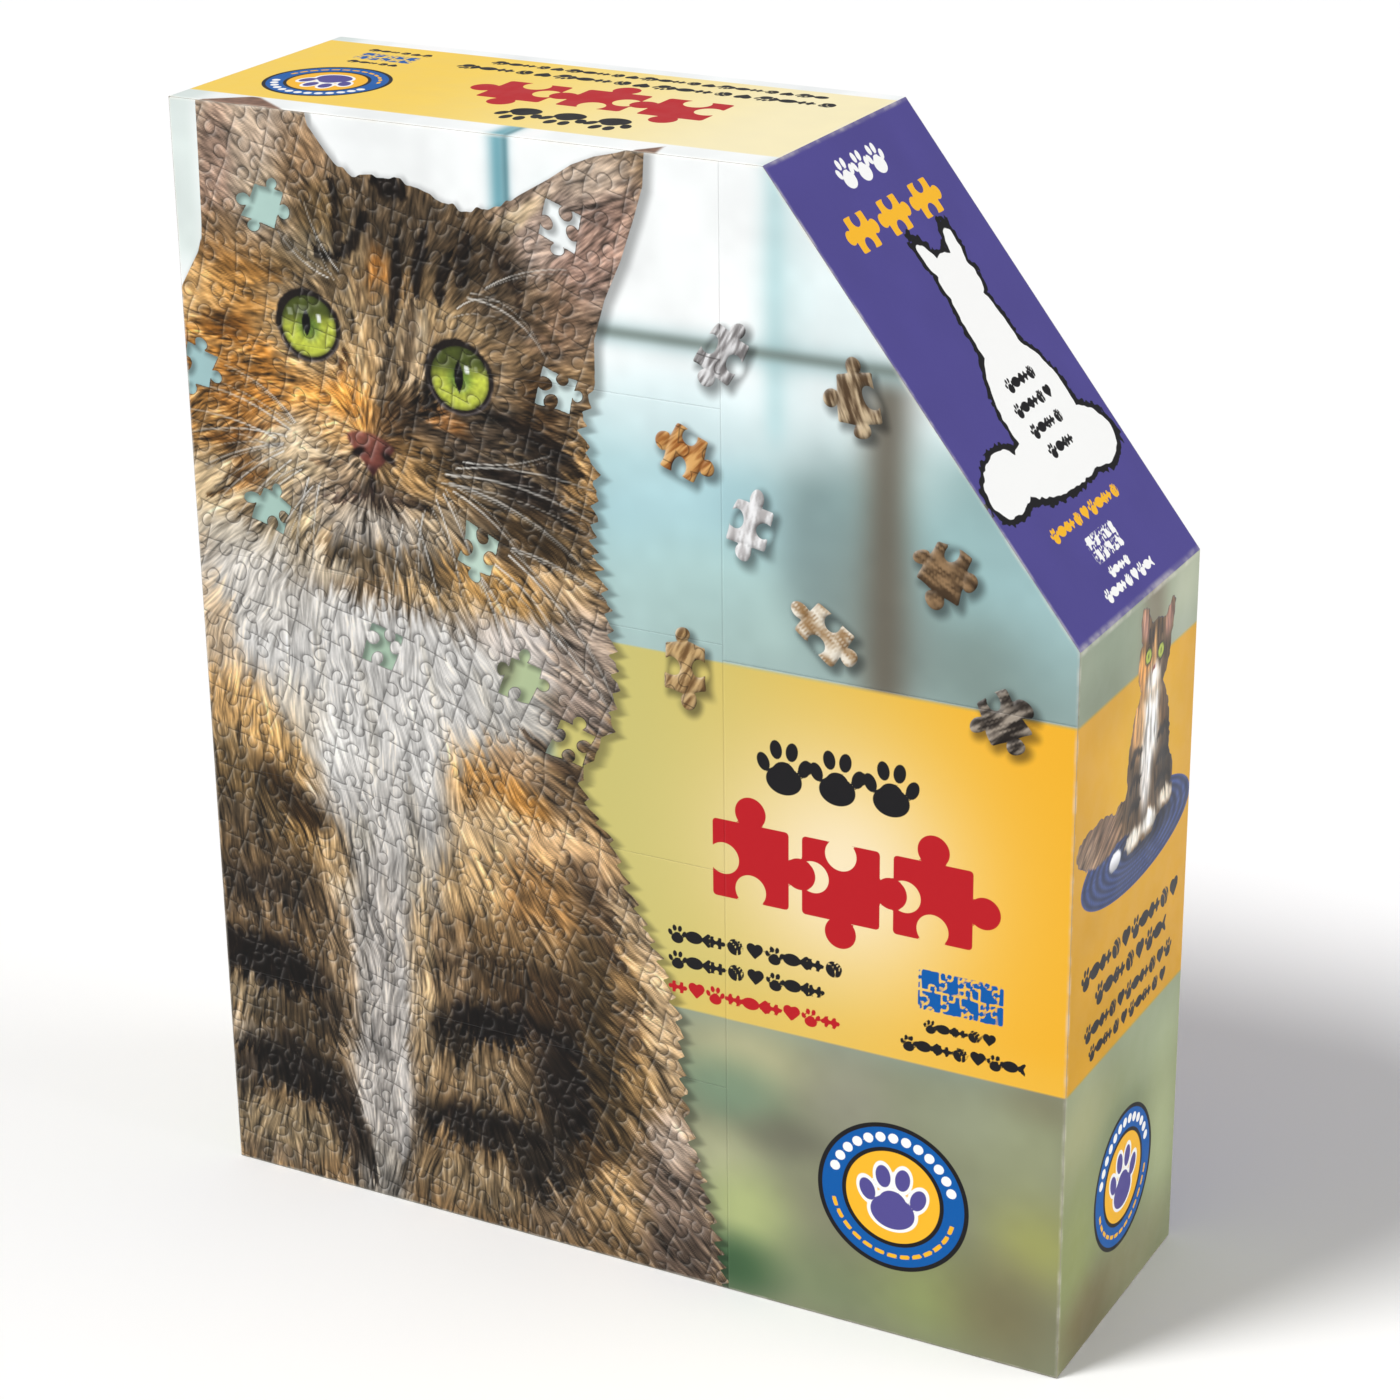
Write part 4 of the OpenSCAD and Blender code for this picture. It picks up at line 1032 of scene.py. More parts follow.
def band_paint(colour, x, z):
    """Band over the scene: olive at the left, a cream glow in the middle, warm yellow at the right."""
    w = smooth(BAND_LOW - 0.15, BAND_LOW + 0.15, z) * (1 - smooth(BAND_HIGH - 0.15, BAND_HIGH + 0.15, z))
    side = smooth(118, 232, x)[..., None]
    ground = (1 - side) * np.array((204, 194, 116)) / 255 + side * np.array((244, 181, 44)) / 255
    glow = np.exp(-(((x - 182) / 34) ** 2) - (((z - 124) / 34) ** 2))
    ground = ground + (0.92 * glow)[..., None] * (np.array((252, 236, 204)) / 255 - ground)
    w = w * smooth(99, 106, x)
    ground = ground + (0.35 * (1 - smooth(BAND_LOW, BAND_LOW + 14, z)) * smooth(118, 150, x))[..., None] * (
        np.array((240, 196, 90)) / 255 - ground)
    colour += w[..., None] * (ground - colour)


def cat_outline(x, z):
    """How far inside the cat's outline a point is, in mm: below the crown line and left of the ragged flank."""
    crown_x = [-5, 0, 3, 6, 7.6, 8.4, 36, 40, 44, 47, 52, 58, 64, 70, 76, 82, 88, 94, 100, 106, 112, 118, 124, 128, 131, 132]
    crown_z = [238, 244, 249, 254, 259, 310, 310, 289, 284, 280.5, 278, 278.5, 279, 277, 275, 273, 274, 276, 279.5, 283,
               287, 289.5, 291, 292.5, 296, 296]
    flank_z = [-5, 12, 30, 45, 58, 74, 90, 106, 118, 126, 134, 148, 158, 168, 180, 196, 212, 224, 236, 246, 256, 266, 276,
               284, 292, 300]
    flank_x = [150, 147.5, 143, 139, 137.5, 137, 131.5, 123.5, 119, 113, 110, 119, 121, 120.5, 119, 115.5, 117, 113, 117,
               117, 120, 124.5, 128, 130.5, 131, 132]
    saw = np.mod(z / 5.2 + 0.7 * noise(z, z * 0, 17, 82), 1)
    tufts = np.where(saw < 0.25, saw / 0.25, (1 - saw) / 0.75) - 0.5
    ragged = (2.5 * tufts + 0.5 * noise(z, x * 0.3, 1.3, 81)) * (1 - smooth(226, 240, z))
    right = np.interp(z, flank_z, flank_x) + ragged
    top = np.interp(x, crown_x, crown_z) + 0.7 * noise(x, x * 0, 1.6, 83) * smooth(44, 52, x) * (1 - smooth(92, 100, x))
    slope_r = np.interp(z + 0.5, flank_z, flank_x) - np.interp(z - 0.5, flank_z, flank_x)
    slope_t = np.interp(x + 0.5, crown_x, crown_z) - np.interp(x - 0.5, crown_x, crown_z)
    return np.minimum((right - x) / np.hypot(1, slope_r), (top - z) / np.hypot(1, slope_t))


def fur(x, z):
    """The coat: blots and stripes of colour looked up along the fur, then shaded by fine and coarse strands.

    The fur is shorter on the face than on the body."""
    dx, dz = lie(x, z)
    long = 1 - smooth(192, 208, z)
    fine = strands(x, z, dx, dz, 0.38, 1.6 + 1.8 * long, 91)
    lock = strands(x, z, dx, dz, 0.95, 3.0 + 3.0 * long, 92)
    tuft = strands(x, z, dx, dz, 2.8, 5.0 + 4.0 * long, 93)
    shift = (0.35 + 0.5 * long) * fine + (0.7 + 0.9 * long) * lock
    u, v = x + dx * shift + 0.4 * noise(x, z, 2.4, 94), z + dz * shift + 0.4 * noise(x, z, 2.4, 95)
    colour = np.empty(x.shape + (3,))
    colour[:] = np.array(BROWN) / 255
    for spot, tint in COAT:
        blot(colour, u, v, spot, tint)
    for points, width, soft, tint, strength in MARKINGS:
        stripe(colour, u, v, points, width, soft, tint, strength)
    light = colour.mean(-1)
    colour += 0.16 * (colour - light[..., None])
    colour *= (1 + 0.12 * long * np.exp(-(((light - 0.42) / 0.16) ** 2)))[..., None]
    depth = (0.34 + 0.08 * long) * (1 - 0.58 * smooth(0.45, 0.8, light))
    colour *= np.clip(1 + depth * (0.62 * fine + 0.34 * lock + 0.24 * tuft), 0.25, 1.9)[..., None]
    glint = smooth(1.1, 2.4, fine + 0.4 * lock) * (0.20 + 0.10 * long) * (0.3 + 0.7 * smooth(0.12, 0.4, light))
    colour += glint[..., None] * (np.array((226, 208, 180)) / 255 - colour)
    return np.clip(colour, 0, 1)


def eye(colour, x, z, cx, cz, r, slit, glints):
    """A cat's eye: dark lids, a green iris with radial fibres under a shaded hood, a slit pupil, and
    window glints. The slit is the lens shape |u| / half_width + (v / half_height)^2 < 1."""
    far = np.hypot(x - cx, (z - cz) * 1.02)
    angle = np.arctan2(z - cz, x - cx)
    thick = 0.8 + 0.8 * smooth(0.3, 1.0, np.cos(angle - 2.3))
    lid = 1 - smooth(r + thick, r + thick + 0.8, far + 0.3 * noise(x, z, 1.2, 101))
    colour += (0.96 * lid)[..., None] * (np.array((24, 19, 18)) / 255 - colour)
    rim = np.exp(-(((far - r - 1.0) / 0.35) ** 2)) * smooth(-0.2, 0.6, -np.sin(angle)) * 0.45
    colour += rim[..., None] * (np.array((146, 138, 142)) / 255 - colour)
    ring = far / r
    iris = np.array((190, 200, 74)) / 255 * np.ones(x.shape + (3,))
    iris += (1 - smooth(0.15, 0.62, ring))[..., None] * (np.array((112, 142, 58)) / 255 - iris)
    fibre = noise(angle * 9, ring * 2.2, 1.0, 102) * 0.10 + noise(x, z, 0.7, 103) * 0.08
    iris *= (1 + fibre)[..., None]
    iris *= (1 - 0.35 * smooth(0.84, 1.0, ring))[..., None]
    hood = smooth(-0.05, 0.5, (z - cz) / r - 0.12 * (x - cx) / r)
    iris += (0.8 * hood)[..., None] * (np.array((46, 56, 24)) / 255 - iris)
    w = 1 - smooth(r - 0.25, r + 0.15, far)
    colour += w[..., None] * (iris - colour)
    px, pz, half_width, half_height = slit
    lens = np.abs(x - px) / half_width + ((z - pz) / half_height) ** 2
    colour += (1 - smooth(0.85, 1.15, lens))[..., None] * (np.array((9, 10, 9)) / 255 - colour)
    for gx, gz, gw, gh, strength in glints:
        u = x - gx + 0.15 * (z - gz)
        w = (1 - smooth(gw - 0.2, gw + 0.25, np.abs(u))) * (1 - smooth(gh - 0.2, gh + 0.25, np.abs(z - gz)))
        colour += (strength * w)[..., None] * (np.array((244, 248, 248)) / 255 - colour)


def nose(colour, x, z):
    """Leathery nose: a wide slanting top that narrows to a point, with dark nostrils."""
    half = np.interp(z, [203.8, 206, 209, 212, 214], [0.5, 2.1, 4.9, 7.2, 7.9])
    middle = 54.2 + 0.06 * (z - 208)
    across = x - middle
    inside = half - np.abs(across + 0.25 * noise(x, z, 1.5, 111))
    top = 214.1 - 0.22 * across - 0.04 * across**2
    w = smooth(-0.5, 0.6, inside) * smooth(203.2, 204.2, z) * (1 - smooth(top - 0.5, top + 0.7, z))
    skin = np.ones(x.shape + (3,)) * np.array((122, 66, 56)) / 255
    skin += smooth(209.5, 212.5, z)[..., None] * (np.array((140, 82, 68)) / 255 - skin)
    skin += (1 - smooth(204.5, 207.5, z))[..., None] * (np.array((62, 32, 32)) / 255 - skin)
    skin += (smooth(0.5, 5, across) * 0.75)[..., None] * (np.array((62, 32, 30)) / 255 - skin)
    skin *= (1 + 0.10 * noise(x, z, 0.6, 112) + 0.08 * noise(x, z, 1.8, 113))[..., None]
    colour += w[..., None] * (skin - colour)
    for px, pz, tilt in ((50.0, 209.2, 35), (58.9, 208.4, -35)):
        blot(colour, x, z, (px, pz, 2.2, 1.0, tilt, 0.5, 0.92), (20, 11, 11))


def cat_paint(x, z):
    """The whole cat: coat, eyes, nose and whiskers."""
    colour = fur(x, z)
    eye(colour, x, z, 37.5, 239.2, 7.9, (36.8, 240.0, 1.25, 3.4),
        [(40.5, 241.5, 0.55, 0.95, 0.9), (35.4, 243.2, 1.9, 1.0, 0.22), (32.2, 242.4, 0.7, 0.9, 0.35)])
    eye(colour, x, z, 80.0, 231.8, 8.1, (79.7, 232.2, 1.3, 4.1), [(82.0, 234.2, 0.6, 0.9, 0.9), (84.6, 234.6, 0.4, 0.7, 0.3)])
    nose(colour, x, z)
    for number, (root, tip, sag, width) in enumerate(WHISKERS * 2):
        drift = 0.0 if number < len(WHISKERS) else 3.6 * (number % 3 - 1.3)
        points = bend((root[0] + 0.3 * drift, root[1] + 0.5 * drift), (tip[0] - 0.5 * drift, tip[1] + drift), sag)
        (low_x, low_z), (high_x, high_z) = np.min(points, axis=0) - 2, np.max(points, axis=0) + 2
        near = (x > low_x) & (x < high_x) & (z > low_z) & (z < high_z)
        if near.any():
            d, along = stroke_distance(x[near], z[near], points)
            thin = width * (0.8 if drift == 0 else 0.5)
            w = (1 - smooth(0.3 * thin, 1.3 * thin, d)) * (1 - 0.6 * along) * (0.9 if drift == 0 else 0.6)
            colour[near] *= (1 - (1 - smooth(0.5 * width, 3.0 * width, d)) * 0.16)[..., None]
            colour[near] += w[..., None] * (np.array((246, 242, 234)) / 255 - colour[near])
    return np.clip(colour, 0, 1)


def picture(x, z):
    """The whole picture: the scene with its title band, the cat, and the depth inside the cat."""
    scene = window_scene(x, z)
    band_paint(scene, x, z)
    return scene, cat_paint(x, z), cat_outline(x, z)


# The picture sheet: thin coated paper that shows the finished picture, folded once more down its
# left side into two leaves and laid in front of the bag.
LEAF = 0.3
SHEET_STEP = 1.35


def sheet_lines():
    """Outer and inner lines of the folded sheet seen from above, as points along the paper.

    Front leaf from its free edge to the fold, half a circle round the fold, and back along the
    rear leaf."""
    low, high = [np.array(c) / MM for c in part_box("picture_sheet")]
    radius = (high[1] - low[1]) / 2
    straight = np.linspace(high[0], low[0] + radius, int((high[0] - low[0]) / SHEET_STEP))
    turn = np.linspace(0, np.pi, 9)[1:-1]
    lines = []
    for r in (radius, radius - LEAF):
        x = np.concatenate((straight, low[0] + radius - r * np.sin(turn), straight[::-1]))
        y = np.concatenate((np.full(len(straight), -r), -r * np.cos(turn), np.full(len(straight), r)))
        lines.append((x, y + low[1] + radius))
    along = np.concatenate(((0,), np.cumsum(np.hypot(np.diff(lines[0][0]), np.diff(lines[0][1])))))
    return lines, along, low, high


lines, along, low, high = sheet_lines()
up = np.linspace(low[2], high[2], int((high[2] - low[2]) / SHEET_STEP))
spread, z = np.meshgrid(along, up)
front_u = (high[0] - low[0]) - spread
tone, cat, edge = picture(front_u * 0.95 + 2, (z - low[2]) * 0.95 + 146)
tone = tone + smooth(-0.3, 0.3, edge)[..., None] * (cat - tone)
blank = spread > (high[0] - low[0])
tone[blank] = np.array((236, 233, 224)) / 255
# The creases, whose middle one is not shaped in the mesh, take the paper's pale fold line: partly rubbed paper, partly
# a painted highlight of the crease.
crease = np.minimum(np.abs(z - (low[2] + high[2]) / 2), np.abs(spread - (high[0] - low[0])))
layers = [np.stack((np.broadcast_to(x, z.shape), np.broadcast_to(y, z.shape), z), axis=-1) for x, y in lines]
rows, cols = z.shape
number = np.arange(rows * cols).reshape(rows, cols)
quads = np.stack((number[:-1, :-1], number[1:, :-1], number[1:, 1:], number[:-1, 1:]), axis=-1).reshape(-1, 4)
border = np.concatenate((number[0, :-1], number[:-1, -1], number[-1, :0:-1], number[:0:-1, 0]))
inside = rows * cols
strip = np.stack((border, np.roll(border, -1), np.roll(border, -1) + inside, border + inside), axis=-1)
sheet = build_mesh("folded_picture_sheet", np.concatenate([layer.reshape(-1, 3) for layer in layers]),
                   [quads, quads[:, ::-1] + inside, strip], None, 2 * len(quads),
                   {"tone": np.concatenate((tone.reshape(-1, 3), np.full((inside, 3), 0.93)))},
                   {"fold": np.concatenate((crease.ravel(), np.full(inside, 9.0)))})
sheet.data.materials.append(printed_paper("sheet_paper", ()))
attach(sheet, "tray")
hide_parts("picture_sheet")


# The bag: clear film round the pieces, drawn tight by their weight, creased down its sides, gathered
# at the top into a flat welded fin with a crimped seal.
FIN_H = 12


def bag_points():
    """Bag surface in mm: flattened oval rings stacked up the bag.

    A ring is a superellipse of power 14, so nearly a rectangle. Up to the shoulder its half-depth
    is the bag's own; over the next 2 mm it falls to the fin's, which then stands straight up.
    Creases push the surface in or out by long thin noise, and the seal is a row of fine ribs."""
    low, high = [np.array(c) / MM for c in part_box("bag_film")]
    shoulder = high[2] - FIN_H
    rise = np.concatenate((np.linspace(0, 1, 36) * (shoulder - low[2]) + low[2], shoulder + np.linspace(0.3, 2.0, 8),
                           shoulder + np.linspace(2.4, FIN_H, 30)))
    inner = np.interp(rise, (low[2], low[2] + 1.2, shoulder, shoulder + 0.4, shoulder + 2.0, high[2]),
                      (0.97, 1.0, 1.0, 0.9, 0.012, 0.012))
    around = np.linspace(0, 2 * np.pi, 360, endpoint=False)
    angle, z = np.meshgrid(around, rise)
    power = 2 / 14
    half_w, half_d = (high[0] - low[0]) / 2, (high[1] - low[1]) / 2
    u = np.sign(np.cos(angle)) * np.abs(np.cos(angle)) ** power
    v = np.sign(np.sin(angle)) * np.abs(np.sin(angle)) ** power
    x = u * half_w + (low[0] + high[0]) / 2
    flat = inner[:, None]
    middle = (low[1] + high[1]) / 2
    crease = noise(x + 3 * noise(x, z, 21, 202), z * 0.35, 5.5, 201) + 0.6 * noise(x * 0.4, z, 3.6, 203)
    y = middle + v * half_d * flat + crease * np.where(flat < 0.5, 0.35, 0.18) * (np.abs(v) > 0.2)
    y = y + np.where(z > shoulder + 3, 0.9 * noise(x, z * 0.3, 26, 204) * (z - shoulder - 3) / FIN_H, 0)
    ribs = (z > shoulder + 5) & (z < shoulder + 10)
    y = y + np.where(ribs, 0.12 * np.sin((z - shoulder) * 2 * np.pi / 0.9), 0)
    x = x + 0.5 * noise(y, z, 6, 205) * (np.abs(u) > 0.98)
    return np.stack((x, y, z), axis=-1)


def film_finish():
    """Clear film: almost no colour, sharp gloss, and fine crackled creases."""
    material, tree, shader = new_finish("clear_film", Base_Color=paint(232, 240, 244), Roughness=0.09, Alpha=0.16,
                                        Specular_IOR_Level=0.6)
    place = wire(tree, "ShaderNodeTexCoord")
    crackle = wire(tree, "ShaderNodeTexNoise", {"Vector": place.outputs["Object"], "Scale": 70.0, "Detail": 6.0,
                                                "Distortion": 0.8})
    relief = wire(tree, "ShaderNodeBump", {"Height": crackle.outputs["Fac"], "Strength": 0.5, "Distance": 0.0012})
    tree.links.new(relief.outputs[0], shader.inputs["Normal"])
    return material


points = bag_points()
count, around = points.shape[:2]
number = np.arange(count * around).reshape(count, around)
turned = np.roll(number, -1, axis=1)
quads = np.stack((number[:-1], turned[:-1], turned[1:], number[1:]), axis=-1).reshape(-1, 4)
bag = build_mesh("film_bag", points.reshape(-1, 3), [quads, number[:1, ::-1], number[-1:]])
bag.data.materials.append(film_finish())
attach(bag, "tray")
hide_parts("bag_film")


# The lid's wrap: one sheet of varnished printed paper glued over the front panel and the five walls
# and folded at every edge. Its front shows the cat as a jigsaw puzzle with a few pieces missing,
# loose pieces beside it, and a title band of signs. It is made here as sheets that meet edge to edge.
LID_FRONT, LID_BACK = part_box("lid_wrap")[0].y / MM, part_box("lid_wrap")[1].y / MM
DEPTH = LID_BACK - LID_FRONT
CAT_STEP, CAT_REACH = 0.35, 150
CUT_PITCH, CUT_TURN, CUT_SEED = 9.6, -17, 3

# Loose pieces printed beside the cat: centre, height, turn, knobs, dark and light colour, fur direction
LOOSE = [
    ((150.5, 247), 17.0, -32, (-1, 1, -1, 1), (120, 116, 116), (232, 231, 232), 60),
    ((184.5, 241.5), 16.5, 8, (-1, 1, 1, 1), (84, 64, 44), (206, 184, 150), 110),
    ((140.5, 222), 16.0, -24, (1, -1, 1, -1), (150, 88, 36), (224, 172, 104), 40),
    ((157.5, 207), 16.5, -12, (-1, 1, -1, 1), (176, 172, 172), (246, 246, 247), 80),
    ((207, 204), 17.0, -22, (1, -1, 1, 1), (72, 54, 36), (150, 120, 86), 150),
    ((177, 183.5), 17.5, 52, (-1, 1, -1, 1), (150, 116, 76), (240, 232, 216), 140),
    ((140, 168.5), 18.0, 4, (-1, 1, -1, 1), (112, 82, 48), (206, 172, 120), 62),
    ((221, 171), 16.5, 28, (1, -1, 1, 1), (38, 32, 28), (168, 156, 142), 30)]


def cat_cut_out(x, z):
    """Depth inside the cut-out cat, which has gaps where pieces are missing, and the signed cuts."""
    signed, column, row = jigsaw(x, z, CUT_PITCH, CUT_TURN, CUT_SEED)
    gap = np.zeros(x.shape, bool)
    for spot in GAPS:
        _, gone_column, gone_row = jigsaw(*np.array(spot, float)[:, None], CUT_PITCH, CUT_TURN, CUT_SEED)
        gap |= (column == gone_column[0]) & (row == gone_row[0])
    away = np.abs(signed)
    return np.where(gap, -away, np.minimum(cat_outline(x, z), away + 0.12)), signed, away


def loose_depth(x, z, piece):
    """Depth inside one loose piece, whose sides are a little bent."""
    (cx, cz), size, turn, knobs = piece[:4]
    u, v = about(x, z, cx, cz, turn)
    bow = 0.7 * noise(x, z, 5, int(cx))
    return piece_sign(u * 1.04 + bow + 0.012 * v * u, v * 0.90 - bow, size, knobs)


def front_art(x, z, with_cat):
    """Front panel: scene, cat, loose pieces and inks.

    A cut-out's edges are lit from the upper left, by how fast the depth falls that way, and a
    point that has the cut-out up and to the left of it lies in its shadow."""
    scene = window_scene(x, z)
    band_paint(scene, x, z)
    coat, edge, cut = np.full(x.shape + (3,), 0.6), np.full(x.shape, -9.0), np.full(x.shape, 9.0)
    shade = np.zeros(x.shape)
    if with_cat:
        coat = cat_paint(x, z)
        edge, cut, away = cat_cut_out(x, z)
        up_left, down_right = cat_cut_out(x - 0.2, z + 0.2)[2], cat_cut_out(x + 0.2, z - 0.2)[2]
        relief = (down_right - up_left) / 0.57 * np.exp(-away / 0.5)
        coat += (np.clip(relief, 0, 1) * 0.52)[..., None] * (0.96 - coat)
        coat *= 1 - (np.clip(-relief, 0, 1) * 0.50)[..., None]
        shade = 0.75 * smooth(-1.5, 0.7, cat_cut_out(x - 0.8, z + 0.8)[0])
        outside = cat_outline(x, z) < 0
        shade = np.maximum(shade, outside * 0.7 * smooth(-2.6, 0.5, cat_outline(x - 1.1, z + 1.1)))
    for piece in LOOSE:
        (cx, cz), size, turn, _, dark, light, way = piece
        near = np.hypot(x - cx, z - cz) < size
        if not near.any():
            continue
        px, pz = x[near], z[near]
        depth = loose_depth(px, pz, piece)
        dx, dz = np.full(px.shape, np.cos(np.radians(way))), np.full(px.shape, np.sin(np.radians(way)))
        hair = strands(px, pz, dx, dz, 0.45, 2.2, 310 + int(cx)) + 0.8 * strands(px, pz, dx, dz, 1.4, 3.0, 311 + int(cx))
        fur_here = np.array(dark) / 255 + smooth(-1.8, 1.8, hair)[..., None] * (np.array(light) - dark) / 255
        relief = (loose_depth(px + 0.25, pz - 0.25, piece) - loose_depth(px - 0.25, pz + 0.25, piece)) / 0.7
        relief *= np.exp(-np.maximum(depth, 0) / 0.5)
        fur_here += (np.clip(relief, 0, 1) * 0.45)[..., None] * (1 - fur_here)
        fur_here *= 1 - (np.clip(-relief, 0, 1) * 0.6)[..., None]
        inside = depth > edge[near]
        coat[near] = np.where(inside[:, None], fur_here, coat[near])
        edge[near] = np.maximum(edge[near], depth)
        cast = smooth(-2.0, 1.0, loose_depth(px - 1.1, pz + 1.1, piece))
        shade[near] = np.maximum(shade[near], cast)
    scene *= 1 - (0.42 * shade)[..., None]
    return scene, np.clip(coat, 0, 1), edge, cut


def count_sign(x, z, left, right, low, high):
    """Block of six little jigsaw pieces."""
    pitch = (high - low) / 2
    block_depth = block(x, z, (left + right) / 2, (low + high) / 2, (right - left) / 2, (high - low) / 2, 0.8)
    gaps = np.abs(jigsaw(x - left, z - low, pitch, 0, 8)[0])
    return np.minimum(block_depth, gaps - 0.28)


def front_inks(x, z):
    """Signs on the front: paws, large pieces and small rows where a title would be, and the badge."""
    inks = {}
    black = sign_row(x, z, 159, 201, 140.5, 154.5, (paw_sign,))
    for left, right, low, high in ((134, 182, 95, 100), (134, 177, 88, 93), (203, 222, 86.2, 90), (197, 228.5, 80.2, 84.6)):
        black = np.maximum(black, sign_row(x, z, left, right, low, high))
    lay_ink(inks, "black", black)
    red = sign_row(x, z, 134, 181, 80.5, 85.5, (piece_sign, heart_sign, paw_sign, piece_sign, fish_sign))
    for cx, knobs in ((157, (1, 1, -1, -1)), (181, (1, -1, -1, 1)), (205, (1, 1, -1, -1))):
        red = np.maximum(red, piece_sign(x - cx, z - 120.8, 33, knobs))
    lay_ink(inks, "red", red)
    lay_ink(inks, "blue", count_sign(x, z, 201.5, 223.5, 92.3, 103))
    badge(inks, x, z, 195.5, 39, 20.3)
    return inks


lid_front_print = printed_paper("lid_front_print", ("black", "blue", "red", "yellow", "white", "violet"), True)
lid_cat_print = printed_paper("lid_cat_print", ("black", "red"), True)
lid_wall_print = printed_paper("lid_wall_print", ("black", "blue", "red", "yellow", "white", "violet"), True)


def lid_piece(piece):
    """Hangs a piece of the lid's wrap on the lid's body and hides the CAD wrap."""
    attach(piece, "lid")
    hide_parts("lid_wrap")


left_edge = -BOX_W / 2
seam = left_edge + CAT_REACH
for part, low, high in (("legs", 0, 58), ("chest", 58, 117), ("bib", 117, 176), ("face", 176, 234), ("ears", 234, BOX_H)):
    x, z = pentagon_grid(0, low, high, CAT_STEP, left=None, right=seam)
    tone, coat, edge, cut = front_art(x - left_edge, z, True)
    inks = {k: v for k, v in front_inks(x - left_edge, z).items() if k in ("black", "red")}
    lid_piece(clad("front_print_" + part, x, np.full(x.shape, LID_FRONT), z, 0, LID_FRONT, LID_BACK, tone, inks,
                   lid_cat_print, coat=coat, edge=edge, cut=cut))
for part, low, high, step in (("title", 0, 172, 0.54), ("window", 172, BOX_H, 0.6)):
    x, z = pentagon_grid(0, low, high, step, left=seam)
    tone, coat, edge, cut = front_art(x - left_edge, z, False)
    lid_piece(clad("front_print_" + part, x, np.full(x.shape, LID_FRONT), z, 0, LID_FRONT, LID_BACK, tone,
                   front_inks(x - left_edge, z), lid_front_print, coat=coat, edge=edge, cut=cut))


# The lid's right and left walls: the blurred window and garden go round the corner, with the title
# band, a small whole cat on a braided blue mat, rows of signs and the badge.
def side_scene(u, z):
    """Blurred window, garden and band on a side wall; u runs back from the front edge. The band's
    yellow is painted darker than the front's, as painted shade of the right wall, which faces away
    from the key light; the left wall takes the same colours.
    """
    colour = np.empty(u.shape + (3,))
    colour[:] = np.array((150, 160, 136)) / 255
    pane = smooth(205, 240, z)[..., None]
    colour += pane * (np.array((208, 216, 204)) / 255 - colour)
    for spot, tint in [
            ((46, 184, 7, 40, 0, 0.8, 0.7), (124, 112, 92)), ((20, 186, 14, 14, 0, 0.9, 0.6), (132, 146, 124)),
            ((66, 186, 10, 26, 0, 0.9, 0.7), (184, 190, 164)), ((12, 174, 18, 6, 0, 0.9, 0.5), (118, 128, 106)),
            ((62, 172, 12, 6, 0, 0.9, 0.5), (150, 160, 146))]:
        blot(colour, u, z, spot, tint)
    lawn = (1 - smooth(60, 90, z))[..., None]
    colour += lawn * (np.array((142, 150, 112)) / 255 - colour)
    for spot, tint in [
            ((10, 64, 16, 12, 0, 0.9, 0.7), (176, 176, 132)), ((60, 66, 18, 12, 0, 0.9, 0.6), (168, 180, 148)),
            ((66, 36, 12, 22, 0, 0.9, 0.7), (186, 196, 150)), ((8, 30, 14, 16, 0, 0.9, 0.7), (150, 158, 96)),
            ((20, 8, 20, 10, 0, 0.9, 0.8), (120, 106, 74)), ((50, 8, 20, 10, 0, 0.9, 0.7), (150, 146, 112)),
            ((36, 52, 12, 6, 0, 0.9, 0.5), (110, 124, 96))]:
        blot(colour, u, z, spot, tint)
    band = smooth(BAND_LOW - 0.15, BAND_LOW + 0.15, z) * (1 - smooth(BAND_HIGH - 0.15, BAND_HIGH + 0.15, z))
    # Band yellow painted darker than on the front: painted shade of the right wall, turned away from the key light.
    ground = np.ones(u.shape + (3,)) * np.array((212, 156, 16)) / 255
    glow = np.exp(-(((u - 44) / 24) ** 2) - (((z - 148) / 26) ** 2))
    ground += (0.55 * glow)[..., None] * (np.array((238, 192, 56)) / 255 - ground)
    colour += band[..., None] * (ground - colour)
    return colour * (1 + 0.03 * noise(u, z, 13, 401))[..., None]


# Small cat: soft spots of colour from the tail to the head
SMALL_COAT = [
    ((16, 137, 14, 6, -8, 0.5, 1), (122, 96, 76)), ((8, 134, 8, 5, 0, 0.5, 0.9), (146, 120, 98)),
    ((46, 146, 18, 20, 0, 0.4, 1), (112, 86, 58)), ((40, 141, 10, 12, 0, 0.6, 0.9), (74, 58, 42)),
    ((57, 142, 6, 14, 0, 0.5, 0.9), (54, 42, 30)), ((46, 158, 7.5, 12, 0, 0.4, 1), (238, 234, 228)),
    ((44, 144, 3.6, 10, 0, 0.5, 1), (226, 220, 214)), ((38, 158, 4, 8, 0, 0.5, 0.8), (206, 152, 92)),
    ((54.5, 157, 4, 8, 0, 0.5, 0.9), (96, 70, 44)), ((37, 129, 5, 2.6, 0, 0.4, 1), (228, 220, 206)),
    ((47, 130, 5, 2.6, 0, 0.4, 1), (236, 230, 220)), ((58, 132.5, 5, 2.4, 0, 0.4, 1), (220, 206, 186)),
    ((47, 174, 11, 11, 0, 0.4, 1), (126, 98, 64)), ((41, 170, 5, 6, 0, 0.5, 1), (206, 146, 80)),
    ((54, 170, 5, 6, 0, 0.5, 0.9), (84, 64, 44)), ((46.5, 167, 4.5, 3.5, 0, 0.5, 1), (232, 222, 210)),
    ((47, 177.5, 7, 4, 0, 0.5, 0.8), (76, 58, 40)), ((46.8, 175, 1.4, 5, 0, 0.5, 0.8), (210, 160, 100)),
    ((40.5, 182, 2.2, 4, 12, 0.5, 0.9), (176, 130, 112)), ((56, 179, 2.2, 4, -20, 0.5, 0.9), (168, 122, 106)),
    ((46.6, 169.4, 1.1, 0.8, 0, 0.4, 1), (120, 62, 58))]


